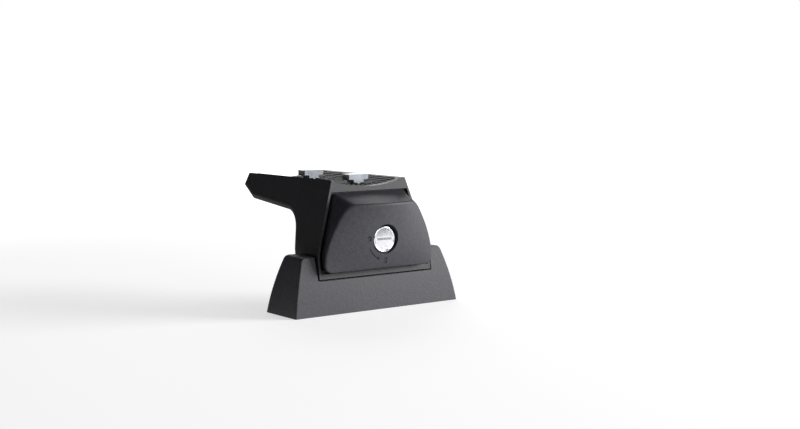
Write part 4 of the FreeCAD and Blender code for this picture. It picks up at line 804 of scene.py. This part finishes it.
def buildSeatPad():
    # top surface: an arc across, less lengthwise grooves of cosine section, less a round hole at each
    # bolt; the underside is a wider arc, and the long edges are rounded
    s = seatPad
    x = np.linspace(-s["half"] + s["round"], s["half"] - s["round"], 260)
    even = np.linspace(s["front"] + s["endRound"], s["rear"] - s["endRound"], 40)
    near = [np.arange(b - s["fineReach"], b + s["fineReach"] + 0.01, s["fineStep"]) for b in s["bolts"]]
    y = np.unique(np.round(np.concatenate([even] + near), 3))
    gridX, gridY = np.meshgrid(x, y)
    top = s["arcHeight"] - np.sqrt(s["topRadius"] ** 2 - gridX ** 2)
    low = s["arcHeight"] - np.sqrt(s["lowRadius"] ** 2 - gridX ** 2)
    wave = 0.5 - 0.5 * np.cos(2 * np.pi * gridX / s["grooveMm"])
    inward = s["half"] - s["plainEdge"] - np.abs(gridX)
    groove = s["grooveDepth"] * ramp(wave, 0.45, 0.75) * ramp(inward, 0, 0.4)
    away = np.minimum.reduce([np.hypot(gridX, gridY - b) for b in s["bolts"]])
    hole = 1 - ramp(away, s["boltHole"] - 0.1, s["boltHole"] + 0.25)
    z = (top - groove) * (1 - hole) + (low + 0.1) * hole
    surface = xyz(gridX, gridY, z)
    under = xyz(gridX, gridY, low)

    def side(sign, column):
        # rounded long edge between the top and the underside
        a, b = surface[:, column], under[:, column]
        corner = (a + b) / 2 + np.array([sign * s["round"] * 2, 0, 0])
        return bend(a, corner, b, 5)[1:-1].transpose(1, 0, 2)

    right, left = side(1, -1), side(-1, 0)
    loop = np.concatenate([surface, right, under[:, ::-1], left[:, ::-1]], axis=1)
    middle = (surface + under) / 2
    flat = np.concatenate([
        middle, right * 0 + middle[:, -1:], middle[:, ::-1], left * 0 + middle[:, :1]], axis=1)
    # each end closes on a line half way up
    first = flat[:1] - (0, s["endRound"], 0)
    last = flat[-1:] + (0, s["endRound"], 0)
    return makePiece("seat_pad_strip", [(np.concatenate([first, loop, last]), False, True)],
                     rubberMoulded, "leg", ["seat_pad"], 40)


buildSeatPad()


# Carried-over solids
finishes = {
    "powder": (coatedCasting, ["leg_casting"]),
    "steel": (platedSteel, [
        "base_plate", "base_screw_left", "base_screw_right", "skirt_screw_left", "skirt_screw_right",
        "clamp_bolt_front", "clamp_bolt_rear", "clamp_washer_front", "clamp_washer_rear",
        "clamp_lock_washer_front", "clamp_lock_washer_rear", "clamp_nut_front", "clamp_nut_rear",
        "catch_plate", "catch_screw_left", "catch_screw_right", "lock_clip", "lock_cam",
        "cam_washer", "cam_screw"]),
    "rubber": (rubberMoulded, ["base_gasket", "seat_pad", "cover_bumper_left", "cover_bumper_right"]),
    "seal": (rubberSealPaintedShade, ["lock_seal"]),
    "zinc": (castZinc, ["lock_housing"]),
    "chrome": (chromedFace, ["lock_face"]),
    "brass": (brassMachined, ["lock_plug"] + ["lock_wafer_%d" % i for i in range(1, 6)]),
}
edgeRounds = {
    # mm, on the solids that are seen
    "leg_casting": 0.35,
    "clamp_bolt_front": 0.22, "clamp_bolt_rear": 0.22, "clamp_nut_front": 0.22, "clamp_nut_rear": 0.22,
    "catch_plate": 0.22, "lock_cam": 0.22,
}

for material, names in finishes.values():
    for name in names:
        nodes[name].data.materials.clear()
        nodes[name].data.materials.append(material)


def softenEdges(name, width):
    # joins the loose facets and rounds the edges a little, so that they catch the light
    node = nodes[name]
    weld = node.modifiers.new("join facets", "WELD")
    weld.merge_threshold = 1e-6
    edge = node.modifiers.new("edge round", "BEVEL")
    edge.width = width * mm
    edge.segments = 2
    edge.limit_method = "ANGLE"
    edge.angle_limit = math.radians(40)
    edge.harden_normals = False


for name, width in edgeRounds.items():
    softenEdges(name, width)
print("solids: %d finishes, %d with rounded edges" % (len(finishes), len(edgeRounds)))


# Camera
camera = {
    "place": (-0.4915, -0.6875, 0.1443), "azimuth": -37.18, "down": 5.62,    # metres and degrees
    "lens": 57.49, "sensor": 36.0,                                           # mm
}


def placeCamera():
    data = bpy.data.cameras.new("camera")
    data.lens = camera["lens"]
    data.sensor_width = camera["sensor"]
    data.clip_start = 0.05
    data.clip_end = 50
    data.dof.use_dof = False
    turn, down = math.radians(camera["azimuth"]), math.radians(camera["down"])
    ahead = Vector((-math.sin(turn) * math.cos(down), math.cos(turn) * math.cos(down), -math.sin(down)))
    view = bpy.data.objects.new("camera", data)
    view.location = camera["place"]
    view.rotation_mode = "QUATERNION"
    view.rotation_quaternion = ahead.to_track_quat("-Z", "Y")
    bpy.context.scene.collection.objects.link(view)
    bpy.context.scene.camera = view


placeCamera()
print("camera: %.1f mm lens" % camera["lens"])


# Floor, world and lights
studio = {
    "floorHalf": 30.0, "floor": "#eeeef0",
    # share of the paper's own glow near the part, its strength, and the share that diffuse light gets
    "glow": 0.4, "glowStrength": 1.5, "bounce": 0.63, "fadeFrom": 0.35, "fadeTo": 1.3,
    # what polished metal mirrors, by the distance from a point in front of the part
    "mirrorNear": 1.3, "mirrorFar": 0.42, "mirrorMiddle": (0.05, -0.35, 0),
    "mirrorFrom": 0.3, "mirrorTo": 0.48, "edgeFrom": 0.55, "edgeTo": 0.85, "edgeRise": 0.4,
    "dome": "#aeb0b8", "domeStrength": 0.1,
    "aim": (0, 0.02, 0.04),
    "lights": [
        # name, place, width and height, watts
        ("key", (1.62, -1.00, 0.60), (1.1, 0.8), 56.0),
        ("front", (0.25, -1.90, 0.55), (1.0, 0.7), 8.0),
        ("rear", (0.9, 1.5, 0.9), (1.2, 1.2), 20.0),
        ("card", (0.75, -0.70, 0.75), (0.6, 0.6), 1.3),
    ],
}


def buildStudio():
    half = studio["floorHalf"]
    mesh = bpy.data.meshes.new("floor")
    corners = [(-half, -half, 0), (half, -half, 0), (half, half, 0), (-half, half, 0)]
    mesh.from_pydata(corners, [], [(0, 1, 2, 3)])
    floor = bpy.data.objects.new("floor", mesh)
    bpy.context.scene.collection.objects.link(floor)
    # matt paper near the part; further off it glows white to the eye, as a lit paper sweep does
    material, tree = newMaterial("floor_paper")
    place = addNode(tree, "ShaderNodeTexCoord")
    reach = addNode(tree, "ShaderNodeVectorMath", {0: place.outputs["Object"]}, operation="LENGTH")
    far = addNode(tree, "ShaderNodeMapRange", {
        "Value": reach.outputs["Value"], "From Min": studio["fadeFrom"], "From Max": studio["fadeTo"],
        "To Min": studio["glow"]}, interpolation_type="SMOOTHSTEP")
    # the glow is whole for the eye, less for diffuse light and nothing for shadow rays
    seen = addNode(tree, "ShaderNodeLightPath")
    matt = addNode(tree, "ShaderNodeMath", {
        0: seen.outputs["Is Diffuse Ray"], 1: studio["bounce"], 2: seen.outputs["Is Camera Ray"]},
        operation="MULTIPLY_ADD", use_clamp=True)
    glow = addNode(tree, "ShaderNodeMath", {
        0: far.outputs["Result"], 1: matt.outputs[0]}, operation="MULTIPLY")
    # mirrored in polished metal the sweep is white in front of the part and falls off to grey
    ahead = addNode(tree, "ShaderNodeVectorMath", {
        0: place.outputs["Object"], 1: studio["mirrorMiddle"]}, operation="DISTANCE")
    mirror = addNode(tree, "ShaderNodeMapRange", {
        "Value": ahead.outputs["Value"], "From Min": studio["mirrorFrom"], "From Max": studio["mirrorTo"],
        "To Min": studio["mirrorNear"], "To Max": studio["mirrorFar"]}, interpolation_type="SMOOTHSTEP")
    edge = addNode(tree, "ShaderNodeMapRange", {
        "Value": ahead.outputs["Value"], "From Min": studio["edgeFrom"], "From Max": studio["edgeTo"],
        "To Max": studio["edgeRise"]}, interpolation_type="SMOOTHSTEP")
    sweep = addNode(tree, "ShaderNodeMath", {
        0: mirror.outputs["Result"], 1: edge.outputs["Result"]}, operation="ADD")
    strength = addNode(tree, "ShaderNodeMix", {
        0: seen.outputs["Is Glossy Ray"], 2: studio["glowStrength"], 3: sweep.outputs[0]})
    share = addNode(tree, "ShaderNodeMath", {
        0: glow.outputs[0], 1: seen.outputs["Is Glossy Ray"]}, operation="MAXIMUM")
    paper = addNode(tree, "ShaderNodeBsdfDiffuse", {"Color": linear(studio["floor"])})
    lit = addNode(tree, "ShaderNodeEmission", {"Color": (1, 1, 1, 1), "Strength": strength.outputs[0]})
    shader = addNode(tree, "ShaderNodeMixShader", {
        0: share.outputs[0], 1: paper.outputs[0], 2: lit.outputs[0]})
    finishMaterial(tree, shader)
    mesh.materials.append(material)
    world = bpy.data.worlds.new("studio")
    bpy.context.scene.world = world
    world.use_nodes = True
    tree = world.node_tree
    tree.nodes.clear()
    # the eye sees white behind the paper; all else is lit by a faint grey dome
    seen = addNode(tree, "ShaderNodeLightPath")
    dome = addNode(tree, "ShaderNodeBackground", {
        "Color": linear(studio["dome"]), "Strength": studio["domeStrength"]})
    back = addNode(tree, "ShaderNodeBackground", {"Color": (1, 1, 1, 1), "Strength": 1.0})
    mix = addNode(tree, "ShaderNodeMixShader", {
        0: seen.outputs["Is Camera Ray"], 1: dome.outputs[0], 2: back.outputs[0]})
    output = tree.nodes.new("ShaderNodeOutputWorld")
    tree.links.new(mix.outputs[0], output.inputs["Surface"])
    for name, place, size, watts in studio["lights"]:
        data = bpy.data.lights.new(name, "AREA")
        data.shape = "RECTANGLE"
        data.size, data.size_y = size
        data.energy = watts
        light = bpy.data.objects.new(name, data)
        light.location = place
        light.rotation_mode = "QUATERNION"
        light.rotation_quaternion = (Vector(studio["aim"]) - Vector(place)).to_track_quat("-Z", "Y")
        bpy.context.scene.collection.objects.link(light)
    bpy.context.scene.view_settings.view_transform = "Standard"


buildStudio()
print("studio: floor and %d lights" % len(studio["lights"]))
